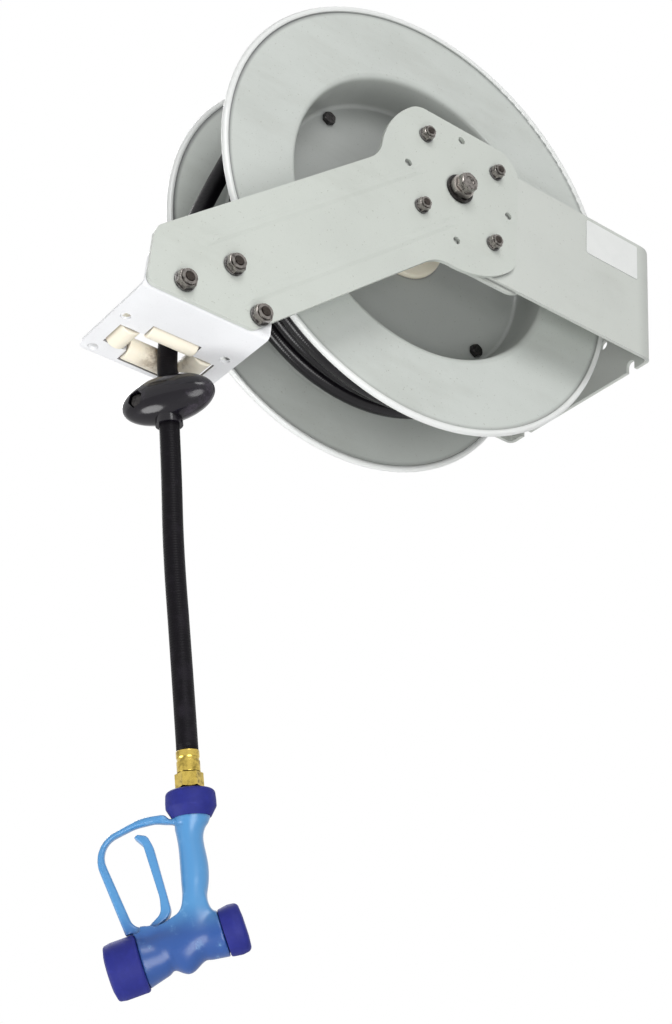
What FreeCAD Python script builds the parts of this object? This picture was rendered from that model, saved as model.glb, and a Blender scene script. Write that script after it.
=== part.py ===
import FreeCAD, Part
import math
import os

V = FreeCAD.Vector

# Spring rewind hose reel on a wall frame, with a roller outlet, a ball stop and a wash gun.
# Millimetres. The origin is the centre of the wall bolt pattern on the back face of the web.
# X points into the wall, Y along the axle from the guide arm's side to the inlet side, Z up.

# Wall frame
AXLE_TO_WALL = 272.0
FRAME_WIDTH = 232.0
FRAME_SHEET = 4.0
FRAME_TOP = 61.0
FRAME_BOTTOM = -85.0
FRAME_BEND = 4.0
FRAME_CORNER = 14.0
UPRIGHT_REACH = 75.0
UPRIGHT_END_R = 20.0
WALL_HOLE_R = 5.5
WALL_SPACING_Y = 90.0
WALL_SPACING_Z = 60.0
HOOK_SLOT_Y = 87.0
HOOK_SLOT_WIDTH = 12.0
HOOK_SLOT_HEIGHT = 13.0
LABEL_LENGTH = 74.0
LABEL_HEIGHT = 44.0
LABEL_SHEET = 0.8
LABEL_FROM_WALL = 58.0
LABEL_MIDDLE_Z = 34.0

# Bearing plates inside the uprights
BEARING_SHEET = 4.0
BEARING_FRONT = 85.0
BEARING_BACK = 100.0
BEARING_TOP = 58.0
BEARING_BOTTOM = -89.0
BEARING_CORNER = 30.0

# Guide arm
ARM_SHEET = 4.0
ARM_HEAD_R = 98.0
ARM_HEAD_BACK = 77.0
ARM_HEAD_TOP = 79.5
ARM_HEAD_CORNER = 26.0
ARM_SLOPE = 42.5
ARM_UPPER = 61.0
ARM_LOWER = 56.0
ARM_HOLLOW_R = 40.0
ARM_END_X = -326.0
ARM_END_Z = -275.0
ARM_END_R = 10.0
ARM_SHOULDER_R = 18.0
RIB_OFFSETS = (34.0, -28.5)
RIB_START = 25.0
RIB_END = 352.0
RIB_WIDTH = 11.0
RIB_HEIGHT = 1.0
RIB_SLOPE = 3.5
RIB_FADE = 25.0
HEAD_CIRCLE_R = 65.0
HEAD_HOLE_R = 4.25
HEAD_POSITIONS = 8

# Arm end and roller bracket
BRACKET_SHEET = 3.0
BRACKET_DEPTH = 129.0
BRACKET_BEND = 2.5
BRACKET_FRONT = -326.0
BRACKET_BACK = -198.0
BRACKET_TOP = -200.0
BRACKET_UNDER = -274.0
BRACKET_LIP = 11.0
BRACKET_CORNER = 13.0
BRACKET_SHOULDERS = (40.0, 36.0)
BRACKET_HOLE_R = 5.0
BRACKET_HOLE_X = 51.5
BRACKET_HOLE_Y = 30.5
END_BOLTS = ((-291.0, -258.5), (-245.5, -219.0), (-213.0, -258.5))
OUTLET_X = -262.5
OUTLET_FROM_ARM = 86.0
OUTLET_Y = OUTLET_FROM_ARM - FRAME_WIDTH / 2

# Rollers
ROLLER_R = 11.0
ROLLER_BORE_CLEARANCE = 0.1
LONG_ROLLER = 48.0
SHORT_ROLLER = 31.0
LONG_ROLLER_OFFSET = 22.5
SHORT_ROLLER_OFFSET = 37.5
ROLLER_RISE = 4.2
ROLLER_WINDOW_CLEARANCE = 0.5
ROLLER_END_CLEARANCE = 1.0
LUG_SHEET = 2.5
LUG_ABOVE_PIN = 5.5
LUG_WIDTH = 11.0
ROLLER_PIN_R = 3.0
PIN_HEAD_R = 4.1
PIN_HEAD = 1.5

# Shaft
SHAFT_R = 13.0
SHAFT_FIT = 0.1
SHAFT_FLATS = 20.0
SHAFT_NEAR_STAND = 8.0
SHAFT_FAR_STAND = 24.0
SHAFT_BORE_R = 7.0
SHAFT_PORT_R = 4.0
SHAFT_WASHER_R = 16.0
SHAFT_WASHER = 2.5
END_BOLT_FLATS = 19.0
END_BOLT_HEAD = 10.0
END_BOLT_R = 6.0
END_BOLT_SHANK = 24.0
FAR_NUT_FLATS = 36.0
FAR_NUT = 12.0
INLET_FLATS = 30.0
INLET_HEX = 12.0
INLET_THREAD_R = 10.478
INLET_THREAD = 18.0
INLET_BORE_R = 5.0

# Drum discs and band
DISC_SHEET = 2.0
NEAR_FLANGE_R = 245.0
FAR_FLANGE_R = 230.0
FLANGE_Y = 66.4
FLANGE_BEND = 5.0
RECESS_MOUTH_R = 164.0
RECESS_TAPER = 6.0
RECESS_FLOOR_R = RECESS_MOUTH_R - RECESS_TAPER
RECESS_FLOOR_Y = 22.0
RIM_R = 3.5
RIM_OVERHANG = 5.0
RIM_SET_IN = 0.4
TIE_EDGE = 12.5
TIE_CIRCLE_R = RECESS_FLOOR_R - TIE_EDGE
TIE_ANGLE = 46.0
TIE_HOLE_R = 4.25

# Hubs
HUB_HOLE_R = 24.0
NEAR_HUB_FLANGE_R = 51.0
NEAR_HUB_FLANGE = 6.0
NEAR_HUB_BARREL_R = 20.0
NEAR_HUB_GAP = 4.0
RATCHET_SEAT_R = 16.5
HUB_SCREW_CIRCLE_R = 38.0
HUB_SCREW_R = 3.0
SWIVEL_FLANGE_R = 46.0
SWIVEL_BARREL_R = 26.0
SWIVEL_LENGTH = 44.0
SWIVEL_PORT_Y = 43.0
SWIVEL_CHAMBER_R = 18.0
SWIVEL_CHAMBER = 10.0
SEAL_WIRE_R = 1.85
SEAL_GROOVE_R = 17.0
SEAL_GROOVE = 4.0
SEAL_OFFSET = 11.0
RISER_R = 9.0
RISER_BORE_R = 6.0
RISER_ANGLE = 200.0
RISER_CLOSED_END = 4.0
RISER_NUT_FLATS = 28.0
RISER_NUT = 10.0

# Power spring
ARBOR_R = 30.0
SPRING_WIDTH = 36.0
SPRING_STRIP = 1.2
SPRING_TURNS = 10
SPRING_ARBOR_GAP = 2.0
SPRING_INNER_R = ARBOR_R + SPRING_ARBOR_GAP
SPRING_TIE_GAP = 7.5
SPRING_OUTER_R = TIE_CIRCLE_R - SPRING_TIE_GAP
SPRING_TAB = 7.0
SPRING_SLOT_CLEARANCE = 0.4
ANCHOR_WIDTH = 12.0

# Ratchet
TEETH = 12
TOOTH_R = 40.0
TOOTH_ROOT_R = 33.0
TOOTH_FACE_ANGLE = 106.0
RATCHET_WHEEL = 6.0
PAWL_X = 23.0
PAWL_Z = 58.0
PAWL_PIN_R = 4.0
PAWL_EYE_R = 8.5
PAWL_SHEET = 5.0
PAWL_TIP_ANGLE = 104.0
PAWL_TIP_R = 35.0
PAWL_LIFT = 12.0
PAWL_TIP_HEIGHT = 6.5
PAWL_HEAD_GAP = 0.6
PAWL_HEAD = 2.0
PAWL_HEAD_R = 6.4
PAWL_SPRING_SHARE = 0.64
PAWL_SPRING_WIRE_R = 0.5
PAWL_SPRING_R = 6.4
PAWL_SPRING_TURNS = 3

# Hose
HOSE_R = 9.25
CORE_FIT = 0.6
CORE_INNER_R = RECESS_MOUTH_R + DISC_SHEET + CORE_FIT
CORE_THICKNESS = 18.4
CORE_R = CORE_INNER_R + CORE_THICKNESS
CORE_END_GAP = 2.4
CORE_Y = FLANGE_Y - DISC_SHEET - CORE_END_GAP
WINDING_GAP = 0.25
WINDING_R = CORE_R + HOSE_R + WINDING_GAP
WINDING_TURNS = 3
WINDING_START_Y = -CORE_Y + HOSE_R + WINDING_GAP
LEAVE_Y = 6.0
LEAVE_ANGLE = 162.5
RISER_END_GAP = 4.0
RISER_END_R = CORE_R - RISER_END_GAP
CLIMB_R = 92.5
CLIMB_ANGLE = 65.0
LEAD_START = 90.0
# Centre line of the hose from the drum to the gun, measured from the axle.
LEAD_POINTS = ((-244.0, OUTLET_Y + 17.0, -130.0), (-256.0, OUTLET_Y + 7.0, -193.0),
               (-254.8, OUTLET_Y + 1.5, -235.5), (-254.5, OUTLET_Y, -277.0))
FREE_POINTS = ((-233.6, OUTLET_Y, -386.0), (-221.4, OUTLET_Y, -461.0), (-201.6, OUTLET_Y, -549.7))
HOSE_END = (-183.5, OUTLET_Y, -635.3)

# Ball stop
STOP_LENGTH = 92.0
STOP_DEPTH = 44.0
STOP_HEIGHT = 44.0
STOP_TURN = 58.5
STOP_ALONG = 41.0
STOP_SEAM = 0.4
STOP_FIT = 0.05
STOP_BOLT_OFFSET = 24.0
STOP_BOLT_R = 4.0
STOP_BOLT_SEAT = 8.0
STOP_POCKET_FLATS = 14.5
STOP_BOLT_FLATS = 13.0
STOP_BOLT_HEAD = 5.3
STOP_BOLT_REACH = 9.0
STOP_COLLAR_R = 12.5
STOP_COLLAR = 4.0

# Wash gun, in its own directions: g back, w down the hose, n towards the guide arm's side
GUN_TURN = 35.0
FERRULE_R = 9.8
FERRULE = 18.5
FERRULE_CRIMP = 0.5
NIPPLE_STEM_R = 5.4
NIPPLE_FLATS = 20.6
NIPPLE_HEX_AT = FERRULE + 0.6
NIPPLE_HEX = 12.0
NIPPLE_SPIGOT_AT = NIPPLE_HEX_AT + NIPPLE_HEX
NIPPLE_SPIGOT_R = 8.0
NIPPLE_SPIGOT = 14.5
WATERWAY_R = 4.0
WATERWAY_END = 152.0
INLET_CAP_R = 20.9
INLET_CAP_TOP = 33.3
INLET_CAP_FOOT = 55.5
INLET_BOSS_R = 15.0
CAP_WALL = 2.5
BARREL_FRONT = (-71.0, 173.1)
BARREL_TILT = 14.2
NOSE_R = 18.2
NOSE_END = 28.0
FRONT_CAP_R = 23.2
FRONT_CAP = 26.0
FRONT_CAP_MOUTH_R = 14.0
FRONT_CAP_LIP = 3.0
FRONT_CAP_DOME = 2.0
TAIL_R = 13.9
TAIL_START = 93.5
TAIL_END = 105.5
REAR_CAP_R = 20.5
REAR_CAP_END = 111.5
CAP_FIT = 0.1
CAP_CLEARANCE = 0.4
OVAL_POINTS = 16
# Grip ovals: distance down, front edge, back edge, half thickness
GRIP_OVALS = ((54.5, -15.2, 15.4, 14.8), (60.5, -14.8, 12.6, 13.6), (68.5, -13.6, 8.8, 12.6),
              (78.0, -12.4, 8.6, 12.4), (90.0, -12.0, 10.4, 12.8), (101.0, -11.9, 10.9, 13.0),
              (112.0, -11.9, 9.6, 12.8), (122.0, -12.2, 8.2, 12.6), (130.0, -15.5, 11.2, 13.2),
              (137.0, -21.0, 15.6, 14.6), (147.0, -27.0, 19.0, 15.6))
# Barrel ovals: distance from the nose, upper edge, lower edge, half thickness
BARREL_OVALS = ((22.0, -17.2, 17.2, 17.2), (29.0, -17.8, 17.6, 17.8), (34.5, -18.6, 14.2, 17.2),
                (41.0, -19.6, 12.9, 16.8), (48.0, -20.4, 13.8, 16.8), (54.0, -21.0, 18.8, 17.2),
                (59.0, -21.4, 21.0, 17.6), (66.0, -21.6, 18.7, 18.0), (76.0, -21.2, 14.6, 17.6),
                (86.0, -20.2, 13.1, 16.8), (93.4, -19.2, 14.6, 16.2))
GUARD_HALF = 5.0
GUARD_ROUND = 2.2
GUARD_OUTLINE = ((-2.0, 53.2, 0), (-38.5, 51.2, 43), (-84.0, 71.4, 25), (-56.5, 149.5, 0), (-46.0, 162.0, 0),
                 (-2.0, 158.0, 0))
GUARD_WINDOW = ((-8.0, 61.0, 0), (-30.0, 57.8, 14), (-46.0, 60.2, 40), (-76.8, 72.9, 20), (-51.3, 139.8, 13),
                (-36.0, 139.8, 0), (-26.0, 146.0, 0), (-8.0, 140.0, 0))
# Narrow gap between the guard and the grip's shoulder
GUARD_GAP = ((-24.0, 58.8, 0), (-7.4, 60.6, 0.9), (-7.2, 62.7, 0.9), (-24.0, 61.4, 0))
SHOULDER_HALF = 10.5
SHOULDER_OUTLINE = ((0.0, 116.0, 0), (-10.8, 116.0, 0), (-12.0, 129.2, 14), (-37.0, 142.4, 20),
                    (-55.0, 146.0, 3), (-50.0, 160.0, 0), (10.0, 155.0, 0), (17.5, 138.0, 3),
                    (9.6, 130.0, 12), (6.8, 116.0, 0))
TRIGGER_HALF = 6.8
TRIGGER_OUTLINE = ((-47.2, 68.6, 0.8), (-44.6, 66.3, 1.5), (-36.6, 67.8, 6), (-32.2, 77.0, 14),
                   (-20.2, 131.6, 10), (-31.0, 140.2, 3), (-33.8, 156.5, 6), (-29.6, 165.0, 3),
                   (-28.6, 170.5, 0), (-37.4, 170.5, 0), (-40.4, 158.0, 6), (-39.6, 140.2, 4),
                   (-28.9, 130.6, 9), (-29.2, 118.6, 30), (-40.2, 75.4, 5))
TRIGGER_SLOT = ((-44.0, 130.0, 0), (-12.4, 124.0, 0), (-13.6, 133.5, 4), (-20.0, 138.5, 3), (-25.2, 143.0, 3),
                (-28.3, 155.0, 4), (-24.6, 168.5, 3), (-29.0, 172.0, 3), (-37.5, 172.0, 3), (-42.6, 160.0, 3))
TRIGGER_SLOT_CLEARANCE = 0.7
TRIGGER_PIVOT = (-33.0, 170.5)
TRIGGER_EYE_R = 4.6
TRIGGER_PIN_R = 1.8
TRIGGER_PIN_HALF = 12.0
TRIGGER_FIT = 0.08
TRIGGER_ROUND = 1.6
PRESS_CLEARANCE = 0.01
FORK_CLEARANCE = 1.6
STEM_R = 3.0
STEM_FIT = 0.3
STEM_START = 12.0
STEM_END = 98.0
STEM_HEAD_R = 7.0
STEM_HEAD = 4.0
PUSH_COLLAR_AT = 42.4
PUSH_COLLAR_R = 5.5
PUSH_COLLAR = 2.2
STEM_COLLAR_AT = 66.0
STEM_COLLAR_R = 7.0
STEM_COLLAR = 3.0
SEAT_START = 10.0
SEAT_END = 24.0
SPRING_ROOM = 64.5
CHAMBER_R = 8.5
VALVE_SPRING_R = 5.6
VALVE_SPRING_WIRE_R = 0.7
VALVE_SPRING_TURNS = 5
SPRING_SEAT_GAP = 0.6
NOZZLE_HOLE_R = 4.0

# Fastener sizes: half the thread, across flats, head height, nut height
M6 = (3.0, 10.0, 4.0, 5.0)
M8 = (4.0, 13.0, 5.3, 8.0)
M10 = (5.0, 17.0, 6.4, 8.5)
WASHER = 1.6
THREAD_FIT = 0.05
THREAD_PROUD = 0.9

AXLE_X = -AXLE_TO_WALL
UPRIGHT_Y = FRAME_WIDTH / 2
UPRIGHT_IN_Y = UPRIGHT_Y - FRAME_SHEET
PLATE_IN_Y = UPRIGHT_IN_Y - BEARING_SHEET
ARM_Y = UPRIGHT_Y + ARM_SHEET
FLOOR_IN_Y = RECESS_FLOOR_Y - DISC_SHEET
BRACKET_PLATE_Z = BRACKET_UNDER + BRACKET_SHEET
ROLLER_Z = BRACKET_PLATE_Z + ROLLER_RISE
X, Y, Z = V(1, 0, 0), V(0, 1, 0), V(0, 0, 1)
AXLE = V(AXLE_X, 0, 0)


def unit(vector):
    return vector / vector.Length


def from_axle(x, y, z):
    return V(AXLE_X + x, y, z)


def around_axle(radius, degrees, y):
    angle = math.radians(degrees)
    return from_axle(radius * math.cos(angle), y, radius * math.sin(angle))


def side_view(y):
    return lambda x, z: from_axle(x, y, z)


def outline(points, place):
    """Closed wire through (a, b, corner radius) points, with tangent arcs at the corners."""
    corners = [V(a, b, 0) for a, b, radius in points]
    stretches = []
    for i, (a, b, radius) in enumerate(points):
        before = corners[i - 1] - corners[i]
        after = corners[(i + 1) % len(corners)] - corners[i]
        half_turn = (math.pi - before.getAngle(after)) / 2
        reach = min(radius * math.tan(half_turn), 0.49 * min(before.Length, after.Length))
        if radius == 0 or reach < 1e-4:
            stretches.append((corners[i], None, corners[i]))
            continue
        inward = unit(unit(before) + unit(after))
        arc_radius = reach / math.tan(half_turn)
        middle = corners[i] + inward * (arc_radius / math.cos(half_turn) - arc_radius)
        stretches.append((corners[i] + unit(before) * reach, middle, corners[i] + unit(after) * reach))
    edges = []
    for i, (start, middle, end) in enumerate(stretches):
        last_end = stretches[i - 1][2]
        edges.append(Part.LineSegment(place(last_end.x, last_end.y), place(start.x, start.y)).toShape())
        if middle is not None:
            arc = Part.Arc(place(start.x, start.y), place(middle.x, middle.y), place(end.x, end.y))
            edges.append(arc.toShape())
    return Part.Wire(edges)


def sheet(points, place, thickness):
    """Flat piece: an outline moved along thickness, a vector."""
    return Part.Face(outline(points, place)).extrude(thickness)


def turned(points, base, axis):
    """Turned piece: (radius, distance along the axis, corner radius) points."""
    side = unit(axis.cross(X if abs(axis.x) < 0.9 else Z))
    face = Part.Face(outline(points, lambda radius, along: base + side * radius + axis * along))
    return face.revolve(base, axis, 360)


def rod(radius, start, direction, length):
    return Part.makeCylinder(radius, length, start, direction)


def ring(outer, inner, start, direction, length):
    return rod(outer, start, direction, length).cut(rod(inner, start, direction, length))


def box(low, high):
    size = high - low
    return Part.makeBox(size.x, size.y, size.z, low)


def hexagon(flats, start, direction, length):
    """Hexagonal prism with its outer corners chamfered."""
    side = unit(direction.cross(X if abs(direction.x) < 0.9 else Z))
    across = unit(direction.cross(side))
    corner_r = flats / math.sqrt(3)
    points = []
    for k in range(6):
        angle = math.radians(60 * k)
        points.append((corner_r * math.cos(angle), corner_r * math.sin(angle), 0))
    prism = sheet(points, lambda a, b: start + side * a + across * b, direction * length)
    bevel = (corner_r - flats / 2) * 0.6
    blank = turned([(0, 0, 0), (corner_r, 0, 0), (corner_r, length - bevel, 0),
                    (flats / 2 * 0.96, length, 0), (0, length, 0)], start, direction)
    return prism.common(blank)


def bolt(size, seat, direction, grip):
    """Hex bolt whose head stands on seat and whose shank runs grip long against direction."""
    radius, flats, head, nut = size
    shank = turned([(0, 0, 0), (radius, 0, 0), (radius, grip - radius * 0.2, 0),
                    (radius * 0.8, grip, 0), (0, grip, 0)], seat, -direction)
    return hexagon(flats, seat, direction, head).fuse(shank).removeSplitter()


def lock_nut(size, seat, direction):
    """Hex nut with the round collar of its locking insert."""
    radius, flats, head, nut = size
    collar = nut * 0.22
    body = hexagon(flats, seat, direction, nut - collar)
    top = rod(flats / 2 * 0.9, seat, direction, nut)
    hole = rod(radius + THREAD_FIT, seat, direction, nut)
    return body.fuse(top).removeSplitter().cut(hole)


def washer(size, seat, direction):
    radius = size[0]
    return ring(radius * 2.05, radius * 1.07, seat, direction, WASHER)


def arc_middle(start, tangent, end):
    """Middle point of the arc that leaves start along tangent and reaches end."""
    chord = end - start
    sideways = chord - tangent * chord.dot(tangent)
    if sideways.Length < 1e-6:
        return (start + end) / 2
    inward = unit(sideways)
    radius = chord.dot(chord) / (2 * chord.dot(inward))
    centre = start + inward * radius
    return centre + unit((start - centre) + (end - centre)) * radius


def arc_through(start, middle, end):
    """Arc edge through three points, or a line where they line up."""
    if (middle - (start + end) / 2).Length < 1e-6:
        return Part.LineSegment(start, end).toShape()
    return Part.Arc(start, middle, end).toShape()


def biarc(start, start_tangent, end, end_tangent):
    """Two arcs that join two points with given tangents."""
    chord = end - start
    a = 2 * (start_tangent.dot(end_tangent) - 1)
    b = -2 * chord.dot(start_tangent + end_tangent)
    c = chord.dot(chord)
    reach = -c / b if abs(a) < 1e-9 else (-b - math.sqrt(b * b - 4 * a * c)) / (2 * a)
    joint = (start + start_tangent * reach + end - end_tangent * reach) / 2
    first = arc_through(start, arc_middle(start, start_tangent, joint), joint)
    second = arc_through(joint, arc_middle(end, -end_tangent, joint), end)
    return [first, second]


def pipe(edges, radius, start, tangent):
    """Round tube along joined edges."""
    shell = Part.BRepOffsetAPI.MakePipeShell(Part.Wire(edges))
    shell.add(Part.Wire([Part.Circle(start, tangent, radius).toShape()]))
    shell.build()
    shell.makeSolid()
    solid = Part.Solid(shell.shape())
    length = sum(edge.Length for edge in edges)
    share = solid.Volume / (math.pi * radius * radius * length)
    print("tube length %.1f mm, volume over section times length %.5f" % (length, share))
    return solid


def coil(place, turns, radius, low, high, wire_r):
    """Edges of a coil by quarter turns, with a straight run of one wire diameter at each end.

    place(radius, turn, along) gives a point; the coil climbs from low to high.
    """
    steps = 4 * turns
    small = 1e-5
    nodes = []
    for i in range(steps + 1):
        turn = i / 4
        along = low + (high - low) * i / steps
        climb = 0 if i in (0, steps) else (high - low) * small / turns
        before = place(radius, turn - small, along - climb)
        after = place(radius, turn + small, along + climb)
        nodes.append((place(radius, turn, along), unit(after - before)))
    first, first_tangent = nodes[0]
    last, last_tangent = nodes[-1]
    start = first - first_tangent * wire_r * 2
    end = last + last_tangent * wire_r * 2
    edges = [Part.LineSegment(start, first).toShape()]
    for (a, a_tangent), (b, b_tangent) in zip(nodes, nodes[1:]):
        edges += biarc(a, a_tangent, b, b_tangent)
    edges.append(Part.LineSegment(last, end).toShape())
    return edges, start, first_tangent, end, last_tangent


def least_gap(edges, radius, step, name):
    """Least gap of a wound tube to itself, measured between points on its centre line."""
    points = []
    travelled = 0.0
    for edge in edges:
        count = max(2, int(edge.Length / step))
        for k in range(count):
            parameter = edge.FirstParameter + (edge.LastParameter - edge.FirstParameter) * k / count
            points.append((travelled + edge.Length * k / count, edge.valueAt(parameter)))
        travelled += edge.Length
    least = 1e9
    for i, (here, point) in enumerate(points):
        for there, other in points[i + 1:]:
            if there - here > radius * 2 * math.pi:
                least = min(least, (point - other).Length)
    print("%s: least gap to itself %.2f mm" % (name, least - 2 * radius))


def wall_frame():
    """One folded sheet: two uprights joined by the web that goes on the wall."""
    end_x = AXLE_X - UPRIGHT_REACH
    bend = FRAME_BEND + FRAME_SHEET
    frame = sheet([(end_x, -UPRIGHT_Y, 0), (0, -UPRIGHT_Y, bend), (0, UPRIGHT_Y, bend),
                   (end_x, UPRIGHT_Y, 0), (end_x, UPRIGHT_IN_Y, 0), (-FRAME_SHEET, UPRIGHT_IN_Y, FRAME_BEND),
                   (-FRAME_SHEET, -UPRIGHT_IN_Y, FRAME_BEND), (end_x, -UPRIGHT_IN_Y, 0)],
                  lambda x, y: V(x, y, FRAME_BOTTOM), V(0, 0, FRAME_TOP - FRAME_BOTTOM))
    keep = sheet([(end_x, FRAME_BOTTOM, UPRIGHT_END_R), (0, FRAME_BOTTOM, 0),
                  (0, FRAME_TOP, FRAME_CORNER), (end_x, FRAME_TOP, UPRIGHT_END_R)],
                 lambda x, z: V(x, -UPRIGHT_Y, z), V(0, FRAME_WIDTH, 0))
    frame = frame.common(keep)
    web_top = FRAME_TOP - FRAME_CORNER
    frame = frame.cut(box(V(-bend, -UPRIGHT_Y + bend, web_top), V(0, UPRIGHT_Y - bend, FRAME_TOP)))
    for y in (-WALL_SPACING_Y / 2, WALL_SPACING_Y / 2):
        for z in (-WALL_SPACING_Z / 2, WALL_SPACING_Z / 2):
            frame = frame.cut(rod(WALL_HOLE_R, V(-FRAME_SHEET, y, z), X, FRAME_SHEET))
    half = HOOK_SLOT_WIDTH / 2
    top = FRAME_BOTTOM + HOOK_SLOT_HEIGHT
    for y in (-HOOK_SLOT_Y, HOOK_SLOT_Y):
        slot = sheet([(y - half, FRAME_BOTTOM, 0), (y + half, FRAME_BOTTOM, 0),
                      (y + half, top, half), (y - half, top, half)],
                     lambda a, z: V(-FRAME_SHEET, a, z), X * FRAME_SHEET)
        frame = frame.cut(slot)
    holes = rod(SHAFT_R + SHAFT_FIT, AXLE - Y * UPRIGHT_Y, Y, FRAME_WIDTH)
    for k in range(HEAD_POSITIONS // 2):
        spot = around_axle(HEAD_CIRCLE_R, 45 + 90 * k, -UPRIGHT_Y)
        holes = holes.fuse(rod(HEAD_HOLE_R, spot, Y, FRAME_WIDTH))
    return frame.cut(holes)


def bearing_plate(side):
    """Plate against the inside of an upright; side is -1 near, 1 far."""
    outer = side * UPRIGHT_IN_Y
    corner = BEARING_CORNER
    plate = sheet([(-BEARING_FRONT, BEARING_BOTTOM, corner), (BEARING_BACK, BEARING_BOTTOM, corner),
                   (BEARING_BACK, BEARING_TOP, corner), (-BEARING_FRONT, BEARING_TOP, corner)],
                  side_view(outer), Y * (-side * BEARING_SHEET))
    plate = plate.cut(rod(SHAFT_R + SHAFT_FIT, from_axle(0, outer, 0), Y * -side, BEARING_SHEET))
    for k in range(HEAD_POSITIONS // 2):
        spot = around_axle(HEAD_CIRCLE_R, 45 + 90 * k, outer)
        plate = plate.cut(rod(HEAD_HOLE_R, spot, Y * -side, BEARING_SHEET))
    if side < 0:
        plate = plate.cut(rod(PAWL_PIN_R + THREAD_FIT, from_axle(PAWL_X, outer, PAWL_Z), Y, BEARING_SHEET))
    return plate


def along_arm(distance, offset):
    """Place on the arm: distance from the axle down the slope, offset up from its middle."""
    slope = math.radians(ARM_SLOPE)
    x = -distance * math.cos(slope) - offset * math.sin(slope)
    z = -distance * math.sin(slope) + offset * math.cos(slope)
    return x, z


def round_upright_edges(solid, spots):
    """Fillets the edges along Y that stand nearest to (x, z, radius) spots."""
    edges = [edge for edge in solid.Edges if abs(abs(edge.tangentAt(edge.FirstParameter).y) - 1) < 1e-6]
    for x, z, radius in spots:
        place = from_axle(x, 0, z)
        nearest = min(edges, key=lambda e: math.hypot(e.CenterOfMass.x - place.x, e.CenterOfMass.z - place.z))
        target = nearest.CenterOfMass
        edge = min(solid.Edges, key=lambda e: (e.CenterOfMass - target).Length)
        solid = solid.makeFillet(radius, [edge])
    return solid


def rib(offset):
    """Pressed rib along the arm, with sloping sides and long run-outs at its ends."""
    foot = (RIB_WIDTH / 2, 0, ARM_Y)
    crest = (RIB_WIDTH / 2 - RIB_SLOPE, RIB_FADE, ARM_Y + RIB_HEIGHT)
    wires = []
    for half, inset, y in (foot, crest):
        start, end = RIB_START + inset, RIB_END - inset
        corners = [along_arm(start, offset - half), along_arm(end, offset - half),
                   along_arm(end, offset + half), along_arm(start, offset + half)]
        wires.append(outline([(x, z, half * 0.98) for x, z in corners], side_view(-y)))
    return Part.makeLoft(wires, True, True)


def guide_arm():
    """Flat arm with a round head, keyed to the shaft and bolted in eight possible positions."""
    head = rod(ARM_HEAD_R, from_axle(0, -ARM_Y, 0), Y, ARM_SHEET)
    head = head.common(box(from_axle(-ARM_HEAD_R, -ARM_Y, -ARM_HEAD_R),
                           from_axle(ARM_HEAD_BACK, -UPRIGHT_Y, ARM_HEAD_TOP)))
    slope = math.radians(ARM_SLOPE)
    upper_start = along_arm(0, ARM_UPPER)
    lower_start = along_arm(0, -ARM_LOWER)
    shoulder = (-ARM_END_X - ARM_UPPER * math.sin(slope)) / math.cos(slope)
    heel = (-ARM_END_Z - ARM_LOWER * math.cos(slope)) / math.sin(slope)
    strip = sheet([upper_start + (0,), along_arm(shoulder, ARM_UPPER) + (ARM_SHOULDER_R,),
                   (ARM_END_X, ARM_END_Z, ARM_END_R), along_arm(heel, -ARM_LOWER) + (ARM_END_R,),
                   lower_start + (0,)], side_view(-ARM_Y), Y * ARM_SHEET)
    arm = head.fuse(strip).removeSplitter()
    hollows = []
    for offset in (ARM_UPPER, -ARM_LOWER):
        hollows.append(along_arm(math.sqrt(ARM_HEAD_R ** 2 - offset ** 2), offset) + (ARM_HOLLOW_R,))
    back_z = math.sqrt(ARM_HEAD_R ** 2 - ARM_HEAD_BACK ** 2)
    top_x = math.sqrt(ARM_HEAD_R ** 2 - ARM_HEAD_TOP ** 2)
    corners = [(ARM_HEAD_BACK, back_z, ARM_HEAD_CORNER), (ARM_HEAD_BACK, -back_z, ARM_HEAD_CORNER),
               (top_x, ARM_HEAD_TOP, ARM_HEAD_CORNER), (-top_x, ARM_HEAD_TOP, ARM_HEAD_CORNER)]
    arm = round_upright_edges(arm, hollows + corners)
    for offset in RIB_OFFSETS:
        arm = arm.fuse(rib(offset))
    for k in range(HEAD_POSITIONS):
        spot = around_axle(HEAD_CIRCLE_R, 360 / HEAD_POSITIONS * k, -ARM_Y)
        arm = arm.cut(rod(HEAD_HOLE_R, spot, Y, ARM_SHEET))
    for x, z in END_BOLTS:
        arm = arm.cut(rod(M10[0] + 2 * SHAFT_FIT, from_axle(x, -ARM_Y, z), Y, ARM_SHEET))
    arm = arm.cut(flatted(SHAFT_R + SHAFT_FIT, SHAFT_FLATS + 2 * SHAFT_FIT, -ARM_Y, ARM_SHEET))
    return arm.removeSplitter()


def flatted(radius, flats, y, length):
    """Round bar along the axle with two flats."""
    bar = rod(radius, from_axle(0, y, 0), Y, length)
    return bar.common(box(from_axle(-radius, y, -flats / 2), from_axle(radius, y + length, flats / 2)))


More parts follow.
